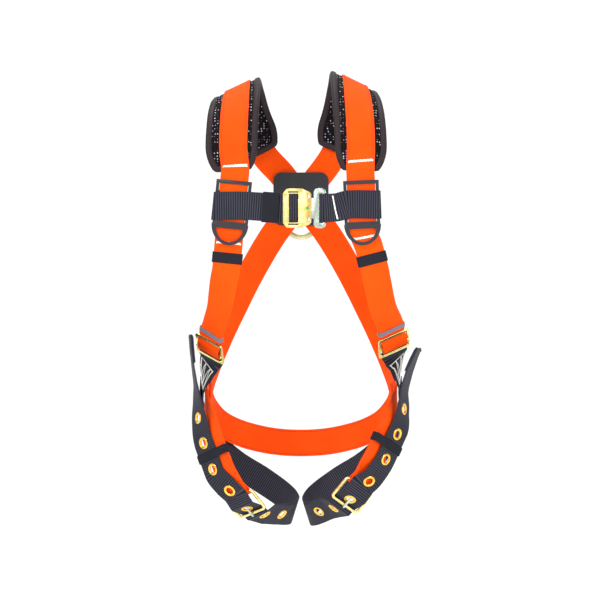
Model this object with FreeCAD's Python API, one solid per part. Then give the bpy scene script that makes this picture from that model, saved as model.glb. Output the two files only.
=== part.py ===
"""Full-body safety harness: webbing, pads and hardware as separate solids, in millimetres.

The wearer faces -Y and stands along +Z. The origin is on the body's centreline at waist height.
Names end in _r for the wearer's right (-X) and _l for the wearer's left (+X).
"""
import FreeCAD
import Part
import math
import os
from collections import namedtuple

# Webbing
WEB_WIDTH = 44.5
WEB_THICK = 2.0
LAYER = 2.6           # pitch of two webbing layers that lie on each other
STEP = 20.0           # spacing of the sections along a curved stretch

# Shoulder pads
PAD_WIDTH = 82.0
PAD_TIP_WIDTH = 47.0
PAD_TAPER = 26.0      # length over which each end narrows
FOAM_THICK = 6.6
MESH_THICK = 0.8
BIND_WIDTH = 7.0
BIND_THICK = 8.8

# Torso adjusters
ADJ_WIDTH = 56.0
ADJ_LENGTH = 42.0
ADJ_THICK = 3.2
ADJ_OPEN_X = 23.5
ADJ_OPEN_LOW = -14.5
ADJ_OPEN_HIGH = 16.5
BAR_LOW = -8.0
BAR_HIGH = 0.0
BAR_BACK = -1.2
BAR_FRONT = 2.8

# Leg buckles and grommets
LEG_BAR_Y = 19.0
LEG_SIDE_X = 26.0
LEG_BAR_R = 2.5
LEG_EYE_R = 5.2
RUNNING_FIT = 0.05
TONGUE_R = 1.7
TONGUE_TIP = (-22.5, 4.85)
GROMMET_R = 10.0
GROMMET_HOLE_R = 5.5
GROMMET_LIP_R = 1.8
GROMMET_PITCH = 44.0
GROMMETS_BEHIND = 2
GROMMETS_AHEAD = 4
STRAP_HOLE_R = 7.0
LEG_KEEPER_DEPTH = {"r": 7.2, "l": 9.8}     # from the grommet strap's middle to behind the thigh strap

# Chest guides, in each guide's own frame (x across the strap, y up along it, z outwards)
CHEST_Z_R = 195        # height of the chest strap's middle where it turns round each guide
CHEST_Z_L = 197
RAIL_IN = 23.0
RAIL_OUT = 28.0
GUIDE_HALF = 3.6
PASSAGE_HALF = 1.6
GUIDE_TOP = 39.0
GUIDE_LOW = -33.0
D_BOTTOM = -63.0
D_FRONT = 5.1
CHEST_LAYER = 4.9     # chest strap's centre from the main strap's centre, each way

# Chest buckle, in the row's own axes
BUCKLE_Z = 191.0
PLATE_FRONT = -127.4
PLATE_BACK = -125.2
SHELL_BACK = -117.0
TONGUE_FRONT = -123.6
TONGUE_BACK = -120.6

# Back plate and D-ring
DORSAL_Z = 215.5
DORSAL_Y = 112.0
RING_BAR_Y = 118.5
RING_BAR_R = 4.5
RING_BOW_R = 25.0
RING_RIM = 9.0
RING_DROP = 34.0
RING_THICK = 8.0
EAR_IN = 35.3
EAR_OUT = 41.3

Anchor = namedtuple("Anchor", "point across straight")


def vec(x, y, z):
    return FreeCAD.Vector(x, y, z)


def unit(vector):
    return vector * (1.0 / vector.Length)


def anchor(x, y, z, across, straight=False):
    """A point the strap's centre passes through; straight means straight on to the next anchor."""
    return Anchor(vec(x, y, z), unit(vec(*across)), straight)


def mirrored(anchors):
    """The same route on the other side of the body, with its outer face still outwards."""
    return [Anchor(vec(-a.point.x, a.point.y, a.point.z),
                   vec(a.across.x, -a.across.y, -a.across.z), a.straight) for a in anchors]


def route(anchors, step=STEP):
    """Sections (point, across) along a smooth curve through the anchors."""
    points = [a.point for a in anchors]
    last = len(points) - 1
    tangents = []
    for i in range(last + 1):
        if anchors[i].straight:
            tangents.append(unit(points[i + 1] - points[i]))
        elif i > 0 and anchors[i - 1].straight:
            tangents.append(unit(points[i] - points[i - 1]))
        else:
            tangents.append(unit(points[min(i + 1, last)] - points[max(i - 1, 0)]))
    sections = []
    for i in range(last):
        chord = (points[i + 1] - points[i]).Length
        count = 1 if anchors[i].straight else max(2, math.ceil(chord / step))
        for k in range(count):
            t = k / count
            point = (points[i] * (2 * t**3 - 3 * t**2 + 1)
                     + tangents[i] * (chord * (t**3 - 2 * t**2 + t))
                     + points[i + 1] * (3 * t**2 - 2 * t**3)
                     + tangents[i + 1] * (chord * (t**3 - t**2)))
            sections.append((point, unit(anchors[i].across * (1 - t) + anchors[i + 1].across * t)))
    sections.append((points[last], anchors[last].across))
    return sections


def axes_at(sections, i):
    """Unit across, along and outward directions at section i."""
    before = sections[max(i - 1, 0)][0]
    after = sections[min(i + 1, len(sections) - 1)][0]
    along = unit(after - before)
    across = sections[i][1]
    across = unit(across - along * across.dot(along))
    return across, along, across.cross(along)


def shifted(sections, out, side=0.0):
    """The same run moved outwards by out and across by side."""
    moved = []
    for i, (point, across) in enumerate(sections):
        a, _, n = axes_at(sections, i)
        moved.append((point + n * out + a * side, across))
    return moved


def lengths(sections):
    """Distance along the run at each section."""
    total = [0.0]
    for (p, _), (q, _) in zip(sections, sections[1:]):
        total.append(total[-1] + (q - p).Length)
    return total


def first_part(sections, length):
    return [s for s, d in zip(sections, lengths(sections)) if d <= length]


def ribbon(sections, width=WEB_WIDTH, thick=WEB_THICK, widths=None):
    """A solid band of rectangular section along the run."""
    wires = []
    for i, (point, _) in enumerate(sections):
        a, _, n = axes_at(sections, i)
        half = a * ((widths[i] if widths else width) / 2)
        rise = n * (thick / 2)
        corners = [point - half - rise, point + half - rise, point + half + rise, point - half + rise]
        wires.append(Part.makePolygon(corners + corners[:1]))
    return Part.makeLoft(wires, True, True)


def pose(origin, right, up):
    """Placement whose x runs right, y up and z outwards from the body."""
    x_axis = unit(right)
    z_axis = unit(x_axis.cross(up))
    y_axis = z_axis.cross(x_axis)
    return FreeCAD.Placement(origin, FreeCAD.Rotation(x_axis, y_axis, z_axis, "XZY"))


def placed(shape, place):
    shape = shape.copy()
    shape.Placement = place.multiply(shape.Placement)
    return shape


def in_frame(place, profile):
    """Sections of a strap that runs through a piece of hardware; profile holds its own (y, z)."""
    across = place.Rotation.multVec(vec(1, 0, 0))
    return [(place.multVec(vec(0, y, z)), across) for y, z in profile]


def turn(y, z, radius, start, end, steps=6):
    """Profile points round a bar, by angle in degrees from +z towards +y."""
    angles = [math.radians(start + (end - start) * k / steps) for k in range(steps + 1)]
    return [(y + radius * math.sin(a), z + radius * math.cos(a)) for a in angles]


def block(x0, x1, y0, y1, z0, z1):
    return Part.makeBox(x1 - x0, y1 - y0, z1 - z0, vec(x0, y0, z0))


def rod(start, end, radius):
    return Part.makeCylinder(radius, (end - start).Length, start, end - start)


def rounded_plate(width, height, thick, radius, front_z):
    """Plate in its own xy plane, corners rounded, front face at front_z."""
    plate = block(-width / 2, width / 2, -height / 2, height / 2, front_z - thick, front_z)
    upright = [e for e in plate.Edges if abs(e.tangentAt(e.FirstParameter).z) > 0.99]
    return plate.makeFillet(radius, upright)


def band(x0, x1, z0, z1, wall, length):
    """Flat loop round a strap: x0..x1 by z0..z1 inside, length along the strap."""
    outer = block(x0 - wall, x1 + wall, -length / 2, length / 2, z0 - wall, z1 + wall)
    return outer.cut(block(x0, x1, -length, length, z0, z1))


# ---------------------------------------------------------------- routes of the webbing

adjuster_r = pose(vec(-146, -45, -31), vec(0.757, -0.510, -0.407), vec(-0.073, -0.684, 0.724))
adjuster_l = pose(vec(148.7, -45, -22.8), vec(0.870, 0.316, 0.379), vec(-0.056, -0.698, 0.714))
buckle_r = pose(vec(-87.2, -97, -275), vec(0.757, -0.537, 0.350), vec(-0.571, -0.310, 0.760))
buckle_l = pose(vec(80.2, -97, -261.4), vec(0.737, 0.375, -0.561), vec(0.632, -0.095, 0.767))

hip_front_r = [
    anchor(-141.5, -70, -1, (0.72, -0.53, -0.45)),
    anchor(-130, -93, 31, (0.82, -0.42, -0.30)),
    anchor(-121, -106, 80, (0.97, -0.12, -0.14)),
]
keeper_run_r = [
    anchor(-117.5, -109.5, 97, (0.99, 0, -0.10), True),
    anchor(-114.5, -111, 129, (0.99, 0, -0.10)),
]
guide_run_r = [
    anchor(-112, -114.5, 160, (0.995, 0, -0.10), True),
    anchor(-103.6, -118.2, 246, (0.995, 0, -0.10)),
]
shoulder_r = [
    anchor(-106.5, -114, 285, (1, 0, 0)),
    anchor(-106, -100, 325, (0.99, 0, 0.12)),
    anchor(-104.5, -72, 361, (0.96, 0, 0.26)),
    anchor(-103, -34, 385, (0.92, 0, 0.38)),
    anchor(-102, 10, 394, (0.894, 0, 0.447)),
    anchor(-98, 53, 381, (0.89, 0.05, 0.45)),
    anchor(-86, 85, 342, (0.87, 0.10, 0.50)),
    anchor(-62, 104, 290, (0.83, 0.06, 0.55)),
]
crossing_r = [
    anchor(-31, DORSAL_Y, 255, (0.787, 0, 0.617), True),
    anchor(31, DORSAL_Y, 176, (0.787, 0, 0.617)),
    anchor(72, 106, 112, (0.80, -0.12, 0.58)),
    anchor(108, 95, 40, (0.78, -0.32, 0.52)),
    anchor(134, 72, -25, (0.60, -0.60, 0.50)),
    anchor(147, 38, -78, (0.25, -0.80, 0.50)),
    anchor(149.5, 12, -112, (0, -0.87, 0.49)),
]

hip_front_l = [
    anchor(143, -70, 6, (0.86, 0.33, 0.40)),
    anchor(130, -93, 33, (0.93, 0.20, 0.32)),
    anchor(119.5, -105, 78, (0.96, 0.05, 0.28)),
]
keeper_run_l = [
    anchor(116, -108, 95, (0.968, 0, 0.25), True),
    anchor(107.5, -111, 128, (0.968, 0, 0.25)),
]
guide_run_l = [
    anchor(97, -114.8, 160, (1, 0, 0.04), True),
    anchor(93.3, -118.2, 246, (1, 0, 0.04)),
]
shoulder_l = [
    anchor(94.3, -114, 285, (1, 0, 0)),
    anchor(93.5, -100, 326, (0.99, 0, -0.12)),
    anchor(91, -72, 364, (0.96, 0, -0.26)),
    anchor(88.5, -34, 391, (0.92, 0, -0.38)),
    anchor(86.5, 10, 403, (0.894, 0, -0.447)),
    anchor(84, 53, 388, (0.89, -0.05, -0.45)),
    anchor(75, 85, 347, (0.87, -0.10, -0.50)),
    anchor(56, 102, 292, (0.83, -0.06, -0.55)),
]
# The left strap crosses under the right one, one layer closer to the back
crossing_l = [a._replace(point=a.point - vec(0, LAYER if a.straight or a.point.x == -31 else 0, 0))
              for a in mirrored(crossing_r)]


def main_strap(place, hip_front, keeper_run, guide_run, shoulder, crossing):
    """Tail, turn round the friction bar, front, shoulder, crossing and opposite hip in one run."""
    entry = in_frame(place, [(22, -2.9)])[0]
    front = route([Anchor(entry[0], entry[1], False)] + hip_front + keeper_run + guide_run
                  + shoulder + crossing)
    tail = shifted(first_part(front, 52), -LAYER)
    tail.reverse()
    bar_y = BAR_LOW + 1.5
    loop_z = (BAR_BACK + BAR_FRONT) / 2
    loop_r = (BAR_FRONT - BAR_BACK) / 2 + 1.4
    bend = in_frame(place, [(16, -5.5), (10, -4.2), (4.3, loop_z - loop_r)]
                    + turn(bar_y, loop_z, loop_r, -180, 0, 8)
                    + [(5.5, loop_z + loop_r), (9, 2.6), (12.5, -0.6), (15.5, -2.9)])
    return tail[:-1] + bend + front


def main_run(side):
    if side == "r":
        return main_strap(adjuster_r, hip_front_r, keeper_run_r, guide_run_r, shoulder_r, crossing_r)
    return main_strap(adjuster_l, hip_front_l, keeper_run_l, guide_run_l, shoulder_l, crossing_l)


hip_run_r = [
    anchor(-159.8, 12, -118, (0, -0.83, -0.54)),
    anchor(-159.2, -2, -92, (0.08, -0.82, -0.55)),
    anchor(-153, -19, -64, (0.48, -0.72, -0.50)),
]
hip_run_l = [
    anchor(159.8, 12, -114, (0, 0.84, 0.54)),
    anchor(159.4, -2, -86, (0.06, 0.86, 0.50)),
    anchor(156, -18, -57, (0.42, 0.77, 0.45)),
]


def hip_strap(place, anchors):
    """Black strap from the hip up, over the adjuster's lower bar and back down behind itself."""
    start = in_frame(place, [(-24, 2.9)])[0]
    front = route(anchors + [Anchor(start[0], start[1], False)])
    back = shifted(front, -LAYER)[2:-1]
    back.reverse()
    bend = in_frame(place, turn(-15.6, 0, 3.1, 0, 180, 8) + [(-24, -2.9)])
    return front + bend + back


thigh_run_r = [
    anchor(-122.2, -113.9, -216.1, (0.66, -0.68, 0.33), True),
    anchor(-137.9, -106.9, -173.1, (0.66, -0.68, 0.33)),
    anchor(-147, -80, -145, (0.42, -0.78, 0.45)),
    anchor(-152, -42, -124, (0.12, -0.62, 0.78)),
    anchor(-153.5, -2, -108, (0, -0.45, 0.89)),
]
thigh_run_l = [
    anchor(120.5, -109.4, -189.8, (0.62, 0.70, -0.36), True),
    anchor(139.3, -100.4, -149.5, (0.62, 0.70, -0.36)),
    anchor(149, -72, -128, (0.42, 0.78, -0.45)),
    anchor(152.2, -38, -117, (0.08, 0.62, -0.78)),
    anchor(153.5, -2, -104, (0, 0.45, -0.89)),
]


def thigh_strap(place, anchors):
    """Orange strap folded in two round the buckle's near bar, both layers up to the hip."""
    start = in_frame(place, [(38, 0)])[0]
    middle = route([Anchor(start[0], start[1], False)] + anchors)
    front = shifted(middle, LAYER / 2)
    back = shifted(middle, -LAYER / 2)
    back.reverse()
    loop_r = LEG_BAR_R + 1.3
    bend = in_frame(place, [(29, -2.4)] + turn(LEG_BAR_Y, 0, loop_r, 180, 360) + [(29, 2.4)])
    solid = ribbon(back + bend + front)
    slot = placed(block(-5, 5, LEG_BAR_Y - 8, LEG_BAR_Y + 8, -8, 8), place)
    return solid.cut(slot)


leg_back_r = [
    anchor(-162.6, -4, -90, (0, 0.80, 0.60)),
    anchor(-162, 26, -128, (0.01, 0.78, 0.62)),
    anchor(-148, 70, -178, (0.25, 0.62, 0.74)),
    anchor(-112, 103, -222, (0.45, 0.25, 0.85)),
    anchor(-64, 104, -253, (0.48, -0.05, 0.87)),
    anchor(-27, 78, -277, (0.40, -0.20, 0.90)),
    anchor(-11, 38, -291, (0.28, -0.12, 0.95)),
]
leg_crotch_r = [
    anchor(-12, 2, -296, (0.30, -0.10, 0.95)),
    anchor(-26.7, -29, -297, (0.50, -0.35, 0.79)),
    anchor(-51, -62, -294, (0.48, -0.45, 0.75)),
]
leg_front_r = [
    anchor(-118, -111.5, -247, (0.72, -0.57, 0.40)),
    anchor(-137.6, -104, -223, (0.66, -0.68, 0.33), True),
    anchor(-153.3, -97, -180, (0.66, -0.68, 0.33)),
    anchor(-162.7, -78, -140, (0.50, -0.85, 0.10)),
    anchor(-166, -68, -112, (0.30, -0.95, 0)),
    anchor(-168.5, -62, -86, (0.15, -0.98, 0.05)),
    anchor(-173.5, -58, -50, (0.11, -0.99, 0)),
    anchor(-177, -56, -10, (0.11, -0.99, 0)),
]
leg_back_l = mirrored(leg_back_r)
leg_crotch_l = [
    anchor(10, 5, -298, (0.30, 0.10, -0.95)),
    anchor(20.4, -24, -296, (0.50, 0.35, -0.79)),
    anchor(43, -58, -285, (0.50, 0.42, -0.75)),
]
leg_front_l = [
    anchor(113.6, -106.7, -232.9, (0.70, 0.62, -0.36)),
    anchor(136.8, -100.7, -197.7, (0.62, 0.70, -0.36), True),
    anchor(155.6, -91.7, -157.4, (0.62, 0.70, -0.36)),
    anchor(163.2, -77, -126, (0.40, 0.90, -0.05)),
    anchor(165, -68, -97, (0.30, 0.95, 0)),
    anchor(171, -62, -74, (0.30, 0.95, 0)),
    anchor(180, -58, -50, (0.25, 0.97, 0)),
    anchor(188, -56, -32, (0.20, 0.98, 0)),
]

# Through the tongue buckle: under the far bar, up through the frame, over the near bar
THREAD_LOW = (-14.1, -1.75)
THREAD_HIGH = (2.1, 9.85)


def leg_run(place, back, crotch, front):
    """Rear hip, round the thigh, through the buckle and up to the folded tail."""
    rear = in_frame(place, [(-30, -6)])[0]
    upper = in_frame(place, [(24, 8)])[0]
    behind = route(back + crotch + [Anchor(rear[0], rear[1], False)])
    bend = in_frame(place, [(-22, -5.2), (-18, -4.6), THREAD_LOW, THREAD_HIGH, (9, 10), (19, 8.4)])
    ahead = route([Anchor(upper[0], upper[1], False)] + front)
    flap = shifted(ahead, -LAYER)[-4:-1]
    flap.reverse()
    end = ahead[-1][0] + axes_at(ahead, len(ahead) - 1)[2] * (-LAYER / 2)
    lift = axes_at(ahead, len(ahead) - 1)[1] * 1.2
    return behind + bend + ahead + [(end + lift, ahead[-1][1])] + flap, len(behind) + 2


def grommet():
    """Rolled eyelet with a rounded lip, about its own z axis."""
    lip_x = GROMMET_HOLE_R + GROMMET_LIP_R
    outline = [
        Part.makeLine(vec(GROMMET_R, 0, 1.05), vec(GROMMET_R, 0, 1.35)),
        Part.makeLine(vec(GROMMET_R, 0, 1.35), vec(GROMMET_R - 0.8, 0, GROMMET_LIP_R)),
        Part.makeLine(vec(GROMMET_R - 0.8, 0, GROMMET_LIP_R), vec(lip_x, 0, GROMMET_LIP_R)),
        Part.Arc(vec(lip_x, 0, GROMMET_LIP_R), vec(GROMMET_HOLE_R, 0, 0),
                 vec(lip_x, 0, -GROMMET_LIP_R)).toShape(),
        Part.makeLine(vec(lip_x, 0, -GROMMET_LIP_R), vec(GROMMET_R - 0.8, 0, -GROMMET_LIP_R)),
        Part.makeLine(vec(GROMMET_R - 0.8, 0, -GROMMET_LIP_R), vec(GROMMET_R, 0, -1.35)),
        Part.makeLine(vec(GROMMET_R, 0, -1.35), vec(GROMMET_R, 0, -1.05)),
        Part.makeLine(vec(GROMMET_R, 0, -1.05), vec(STRAP_HOLE_R - 0.1, 0, -1.05)),
        Part.makeLine(vec(STRAP_HOLE_R - 0.1, 0, -1.05), vec(STRAP_HOLE_R - 0.1, 0, 1.05)),
        Part.makeLine(vec(STRAP_HOLE_R - 0.1, 0, 1.05), vec(GROMMET_R, 0, 1.05)),
    ]
    face = Part.Face(Part.Wire(outline))
    return face.revolve(vec(0, 0, 0), vec(0, 0, 1), 360)


def place_along(sections, distance):
    """Placement on the run at a distance along it, x across and y along."""
    marks = lengths(sections)
    i = max(k for k in range(len(marks) - 1) if marks[k] <= distance)
    share = (distance - marks[i]) / (marks[i + 1] - marks[i])
    point = sections[i][0] * (1 - share) + sections[i + 1][0] * share
    along = sections[i + 1][0] - sections[i][0]
    across = sections[i][1] * (1 - share) + sections[i + 1][1] * share
    across = unit(across - along * (across.dot(along) / along.dot(along)))
    return pose(point, across, along)


def leg_strap_and_grommets(place, back, crotch, front):
    run, thread = leg_run(place, back, crotch, front)
    tongue_at = lengths(run)[thread] + (vec(0, *THREAD_HIGH) - vec(0, *THREAD_LOW)).Length / 2
    strap = ribbon(run)
    eyelets = []
    for k in range(-GROMMETS_BEHIND, GROMMETS_AHEAD + 1):
        spot = place_along(run, tongue_at + k * GROMMET_PITCH)
        hole = rod(vec(0, 0, -2.2), vec(0, 0, 2.2), STRAP_HOLE_R)
        strap = strap.cut(placed(hole, spot))
        eyelets.append(placed(grommet(), spot))
    return strap, Part.makeCompound(eyelets), place_along(run, tongue_at + 2.5 * GROMMET_PITCH)


# ---------------------------------------------------------------- hardware

def adjuster_frame(place):
    plate = rounded_plate(ADJ_WIDTH, ADJ_LENGTH, ADJ_THICK, 5, ADJ_THICK / 2)
    opening = block(-ADJ_OPEN_X, ADJ_OPEN_X, ADJ_OPEN_LOW, ADJ_OPEN_HIGH, -5, 5)
    return placed(plate.cut(opening), place)


def adjuster_bar(place):
    """Friction bar between the side rails, with lugs that lap over them in front."""
    bar = block(-ADJ_OPEN_X + 0.5, ADJ_OPEN_X - 0.5, BAR_LOW, BAR_HIGH, BAR_BACK, BAR_FRONT)
    bar = bar.makeFillet(1.9, [e for e in bar.Edges if e.BoundBox.YMax < BAR_LOW + 0.1
                               and abs(e.tangentAt(e.FirstParameter).x) > 0.99])
    lug_back = ADJ_THICK / 2 + 0.35
    for side in (-1, 1):
        lug = Part.makeCylinder(2.4, 1.6, vec(side * (ADJ_OPEN_X + 1.6), -4, lug_back), vec(0, 0, 1))
        neck_x = side * (ADJ_OPEN_X - 0.6)
        neck = block(min(neck_x, neck_x + side * 1.6), max(neck_x, neck_x + side * 1.6),
                     BAR_LOW + 1, BAR_HIGH - 1, lug_back, BAR_FRONT)
        bar = bar.fuse(neck).fuse(lug)
    return placed(bar.removeSplitter(), place)


def leg_buckle(place):
    """Round-bar frame: near and far bars and two flat sides."""
    frame = rod(vec(-LEG_SIDE_X, LEG_BAR_Y, 0), vec(LEG_SIDE_X, LEG_BAR_Y, 0), LEG_BAR_R)
    frame = frame.fuse(rod(vec(-LEG_SIDE_X, -LEG_BAR_Y, 0), vec(LEG_SIDE_X, -LEG_BAR_Y, 0), LEG_BAR_R))
    for side in (-1, 1):
        bar = rod(vec(side * LEG_SIDE_X, -LEG_BAR_Y, 0), vec(side * LEG_SIDE_X, LEG_BAR_Y, 0), LEG_BAR_R)
        frame = frame.fuse(bar)
        for end in (-1, 1):
            corner = Part.makeSphere(LEG_BAR_R, vec(side * LEG_SIDE_X, end * LEG_BAR_Y, 0))
            frame = frame.fuse(corner)
    return placed(frame.removeSplitter(), place)


def leg_tongue(place):
    """Eye round the near bar and a pin whose tip lies on the far bar."""
    eye = rod(vec(-3.6, LEG_BAR_Y, 0), vec(3.6, LEG_BAR_Y, 0), LEG_EYE_R)
    tip = vec(0, *TONGUE_TIP)
    pin = rod(vec(0, LEG_BAR_Y, 0), tip, TONGUE_R)
    bore = rod(vec(-9, LEG_BAR_Y, 0), vec(9, LEG_BAR_Y, 0), LEG_BAR_R + RUNNING_FIT)
    body = eye.fuse(pin).fuse(Part.makeSphere(TONGUE_R, tip))
    return placed(body.cut(bore).removeSplitter(), place)


def chest_guide(place):
    """Moulded slide: rails, front bars and back plate round the main strap, D loop below."""
    rail_x = RAIL_OUT - GUIDE_HALF
    body = block(-rail_x, rail_x, -22, 22, -GUIDE_HALF, -PASSAGE_HALF)
    for side in (-1, 1):
        inner, outer = sorted((side * RAIL_IN, side * rail_x))
        body = body.fuse(block(inner, outer, GUIDE_LOW, GUIDE_TOP, -GUIDE_HALF, GUIDE_HALF))
        edge = rod(vec(side * rail_x, GUIDE_LOW, 0), vec(side * rail_x, GUIDE_TOP, 0), GUIDE_HALF)
        inner, outer = sorted((side * rail_x, side * RAIL_OUT))
        body = body.fuse(edge.common(block(inner, outer, GUIDE_LOW, GUIDE_TOP, -GUIDE_HALF, GUIDE_HALF)))
    body = body.fuse(block(-RAIL_OUT, RAIL_OUT, GUIDE_TOP - 6, GUIDE_TOP, PASSAGE_HALF, GUIDE_HALF))
    body = body.fuse(block(-RAIL_OUT, RAIL_OUT, GUIDE_LOW, GUIDE_LOW + 7, PASSAGE_HALF, GUIDE_HALF))
    loop = d_outline(29, GUIDE_LOW + 3, D_BOTTOM).cut(d_outline(21, GUIDE_LOW - 4, D_BOTTOM + 5))
    return placed(body.fuse(loop).removeSplitter(), place)


def d_outline(half_width, top, bottom):
    """Flat-topped half ellipse, as thick as the D loop."""
    drop = top - bottom
    ellipse = Part.Ellipse(vec(0, 0, 0), max(half_width, drop), min(half_width, drop))
    if half_width >= drop:
        arc = Part.ArcOfEllipse(ellipse, math.pi, 2 * math.pi).toShape()
    else:
        arc = Part.ArcOfEllipse(ellipse, math.pi / 2, 3 * math.pi / 2).toShape()
        arc.rotate(vec(0, 0, 0), vec(0, 0, 1), 90)
    arc.translate(vec(0, top, PASSAGE_HALF))
    lid = Part.makeLine(vec(half_width, top, PASSAGE_HALF), vec(-half_width, top, PASSAGE_HALF))
    face = Part.Face(Part.Wire([arc, lid]))
    return face.extrude(vec(0, 0, D_FRONT - PASSAGE_HALF))


def guide_place(run):
    low, high = run[0].point, run[1].point
    share = (196 - low.z) / (high.z - low.z)
    return pose(low * (1 - share) + high * share, run[0].across, high - low)


def run_place(run):
    return pose((run[0].point + run[1].point) * 0.5, run[0].across, run[1].point - run[0].point)


def chest_sections(points):
    """Sections of the chest strap from (x, y, z) points; the strap stands upright."""
    return [(vec(*p), vec(0, 0, 1)) for p in points]


def guide_wrap(place, side, height):
    """Chest strap round a guide's outer rail, from back to front, its middle level at one height."""
    sideways = place.Rotation.multVec(vec(1, 0, 0))
    upwards = place.Rotation.multVec(vec(0, 1, 0))
    fold_x = RAIL_OUT + 0.35 + 1 - CHEST_LAYER
    profile = [(-RAIL_IN, -CHEST_LAYER)]
    profile += [(fold_x + x, z) for x, z in turn(0, 0, CHEST_LAYER, 180, 0)]
    profile.append((-RAIL_IN + 2, CHEST_LAYER))
    wrap = []
    for x, z in profile:
        lift = (height - place.Base.z - sideways.z * side * x) / upwards.z
        wrap.append((place.multVec(vec(side * x, lift, z)), upwards))
    return wrap


def chest_strap_r(place):
    """Round the right guide, across the chest and round the buckle's bar, with its tail."""
    front_y = place.Base.y - CHEST_LAYER
    bar_x, bar_y, bar_r = -9.7, -122.0, 3.3
    loop = [(bar_x + y, bar_y - z, BUCKLE_Z) for y, z in turn(0, 0, bar_r, 0, 180)]
    return ribbon(guide_wrap(place, -1, CHEST_Z_R) + chest_sections(
        [(-33, front_y, BUCKLE_Z + 0.3), (-27, -122.4, BUCKLE_Z), (-19.5, -122.6, BUCKLE_Z),
         (-15, -125.1, BUCKLE_Z)] + loop
        + [(-19, -118.7, BUCKLE_Z), (-33, -118.4, BUCKLE_Z + 0.3), (-76, -118.4, 194.2)]))


def chest_strap_l(place):
    """Round the tab's outer bar, across the chest and round the left guide."""
    front_y = place.Base.y - CHEST_LAYER
    bar_x, bar_y, bar_r = 35.5, -122.1, 3.5
    loop = [(bar_x - y, bar_y + z, BUCKLE_Z) for y, z in turn(0, 0, bar_r, 0, 180)]
    wrap = guide_wrap(place, 1, CHEST_Z_L)
    wrap.reverse()
    return ribbon(chest_sections(
        [(57, front_y + LAYER, BUCKLE_Z + 1.6), (44, -118.6, BUCKLE_Z + 0.5)] + loop
        + [(44, -123.6, BUCKLE_Z + 0.5), (57, front_y - 0.2, BUCKLE_Z + 1.6)]) + wrap)


def upright_plate(outline, front, back):
    """Plate in the XZ plane from (x, z) corners, z about the buckle's centre."""
    corners = [vec(x, front, BUCKLE_Z + z) for x, z in outline]
    return Part.Face(Part.makePolygon(corners + corners[:1])).extrude(vec(0, back - front, 0))


def buckle_plate():
    """Gold front shell: strap window, walls for the strap bar and recesses for the latch buttons."""
    half = 30.2
    outline = [(-28.3, 23), (-23.5, 24.1), (2.5, 24.1), (2.5, half), (5, 29), (8, 27.4), (13, 25.5),
               (16, 22), (16, -22), (13, -25.5), (8, -27.4), (5, -29), (2.5, -half), (2.5, -24.1),
               (-23.5, -24.1), (-28.3, -23)]
    plate = upright_plate(outline, PLATE_FRONT, PLATE_BACK)
    plate = plate.cut(block(-18.9, -3.9, -130, -120, BUCKLE_Z - 22.7, BUCKLE_Z + 22.7))
    for side in (-1, 1):
        corner = upright_plate([(-28.3, side * 22.6), (-28.3, side * 23), (-22.6, side * half),
                                (-20.2, side * half), (-20.2, side * 24.1), (-20.2, side * 22.6)],
                               PLATE_FRONT, SHELL_BACK)
        wall = upright_plate([(-20.2, side * 22.6), (-20.2, side * 24.1), (-5, side * 24.1),
                              (-5, side * 22.6)], PLATE_BACK, SHELL_BACK)
        plate = plate.fuse(corner).fuse(wall)
    return plate.removeSplitter()


def buckle_back():
    """Back plate behind the mechanism, with the post the springs bear on."""
    plate = upright_plate([(-4, 24), (2.5, 29), (8, 27.4), (13, 25.5), (16, 22), (16, -22),
                           (13, -25.5), (8, -27.4), (2.5, -29), (-4, -24)], -117.0, -115.2)
    post = upright_plate([(-4.6, 14), (-1.6, 14), (-1.6, -14), (-4.6, -14)], -123.8, -116.5)
    return plate.fuse(post).removeSplitter()


def buckle_latch(side):
    """Latch button in the shell's edge with the arm it carries between the plates."""
    button = upright_plate([(-19.8, side * 26.4), (-19.8, side * 30.6), (2.1, side * 30.6),
                            (2.1, side * 26.4)], PLATE_FRONT, -117.6)
    arm = upright_plate([(-4.4, side * 19), (-4.4, side * 26.6), (9, side * 26.6), (9, side * 19)],
                        -124.7, -119.2)
    return button.fuse(arm).removeSplitter()


def buckle_spring(side):
    """Return spring between the post and the latch arm."""
    low, high = 14.1, 18.9
    coils = Part.makeHelix(1.2, high - low - 0.5, 1.15)
    profile = Part.Wire(Part.makeCircle(0.22, vec(1.15, 0, 0), vec(0, 1, 0)))
    coil = Part.Wire(coils).makePipeShell([profile], True, True)
    coil.translate(vec(-3.1, -121.6, BUCKLE_Z + low + 0.25))
    if side < 0:
        coil = coil.mirror(vec(0, 0, BUCKLE_Z), vec(0, 0, 1))
    return coil


def buckle_tab():
    """Silver tab: tongue into the buckle, frame outside with a slot and an outer bar."""
    tongue = upright_plate([(-0.8, 12), (2.5, 16), (20, 16), (20, -16), (2.5, -16), (-0.8, -12)],
                           TONGUE_FRONT, TONGUE_BACK)
    outline = [(19.6, 26), (22.5, 30), (27, 31.5), (33, 31.5), (38, 29), (39.3, 24.6), (39.3, -24.6),
               (38, -29), (33, -31.5), (27, -31.5), (22.5, -30), (19.6, -26)]
    frame = upright_plate(outline, TONGUE_FRONT, TONGUE_BACK)
    frame = frame.cut(block(28.3, 33.8, -130, -115, BUCKLE_Z - 23.2, BUCKLE_Z + 23.2))
    frame = frame.cut(block(37.2, 42, -130, -115, BUCKLE_Z - 23.2, BUCKLE_Z + 23.2))
    return frame.fuse(tongue).removeSplitter()


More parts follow.
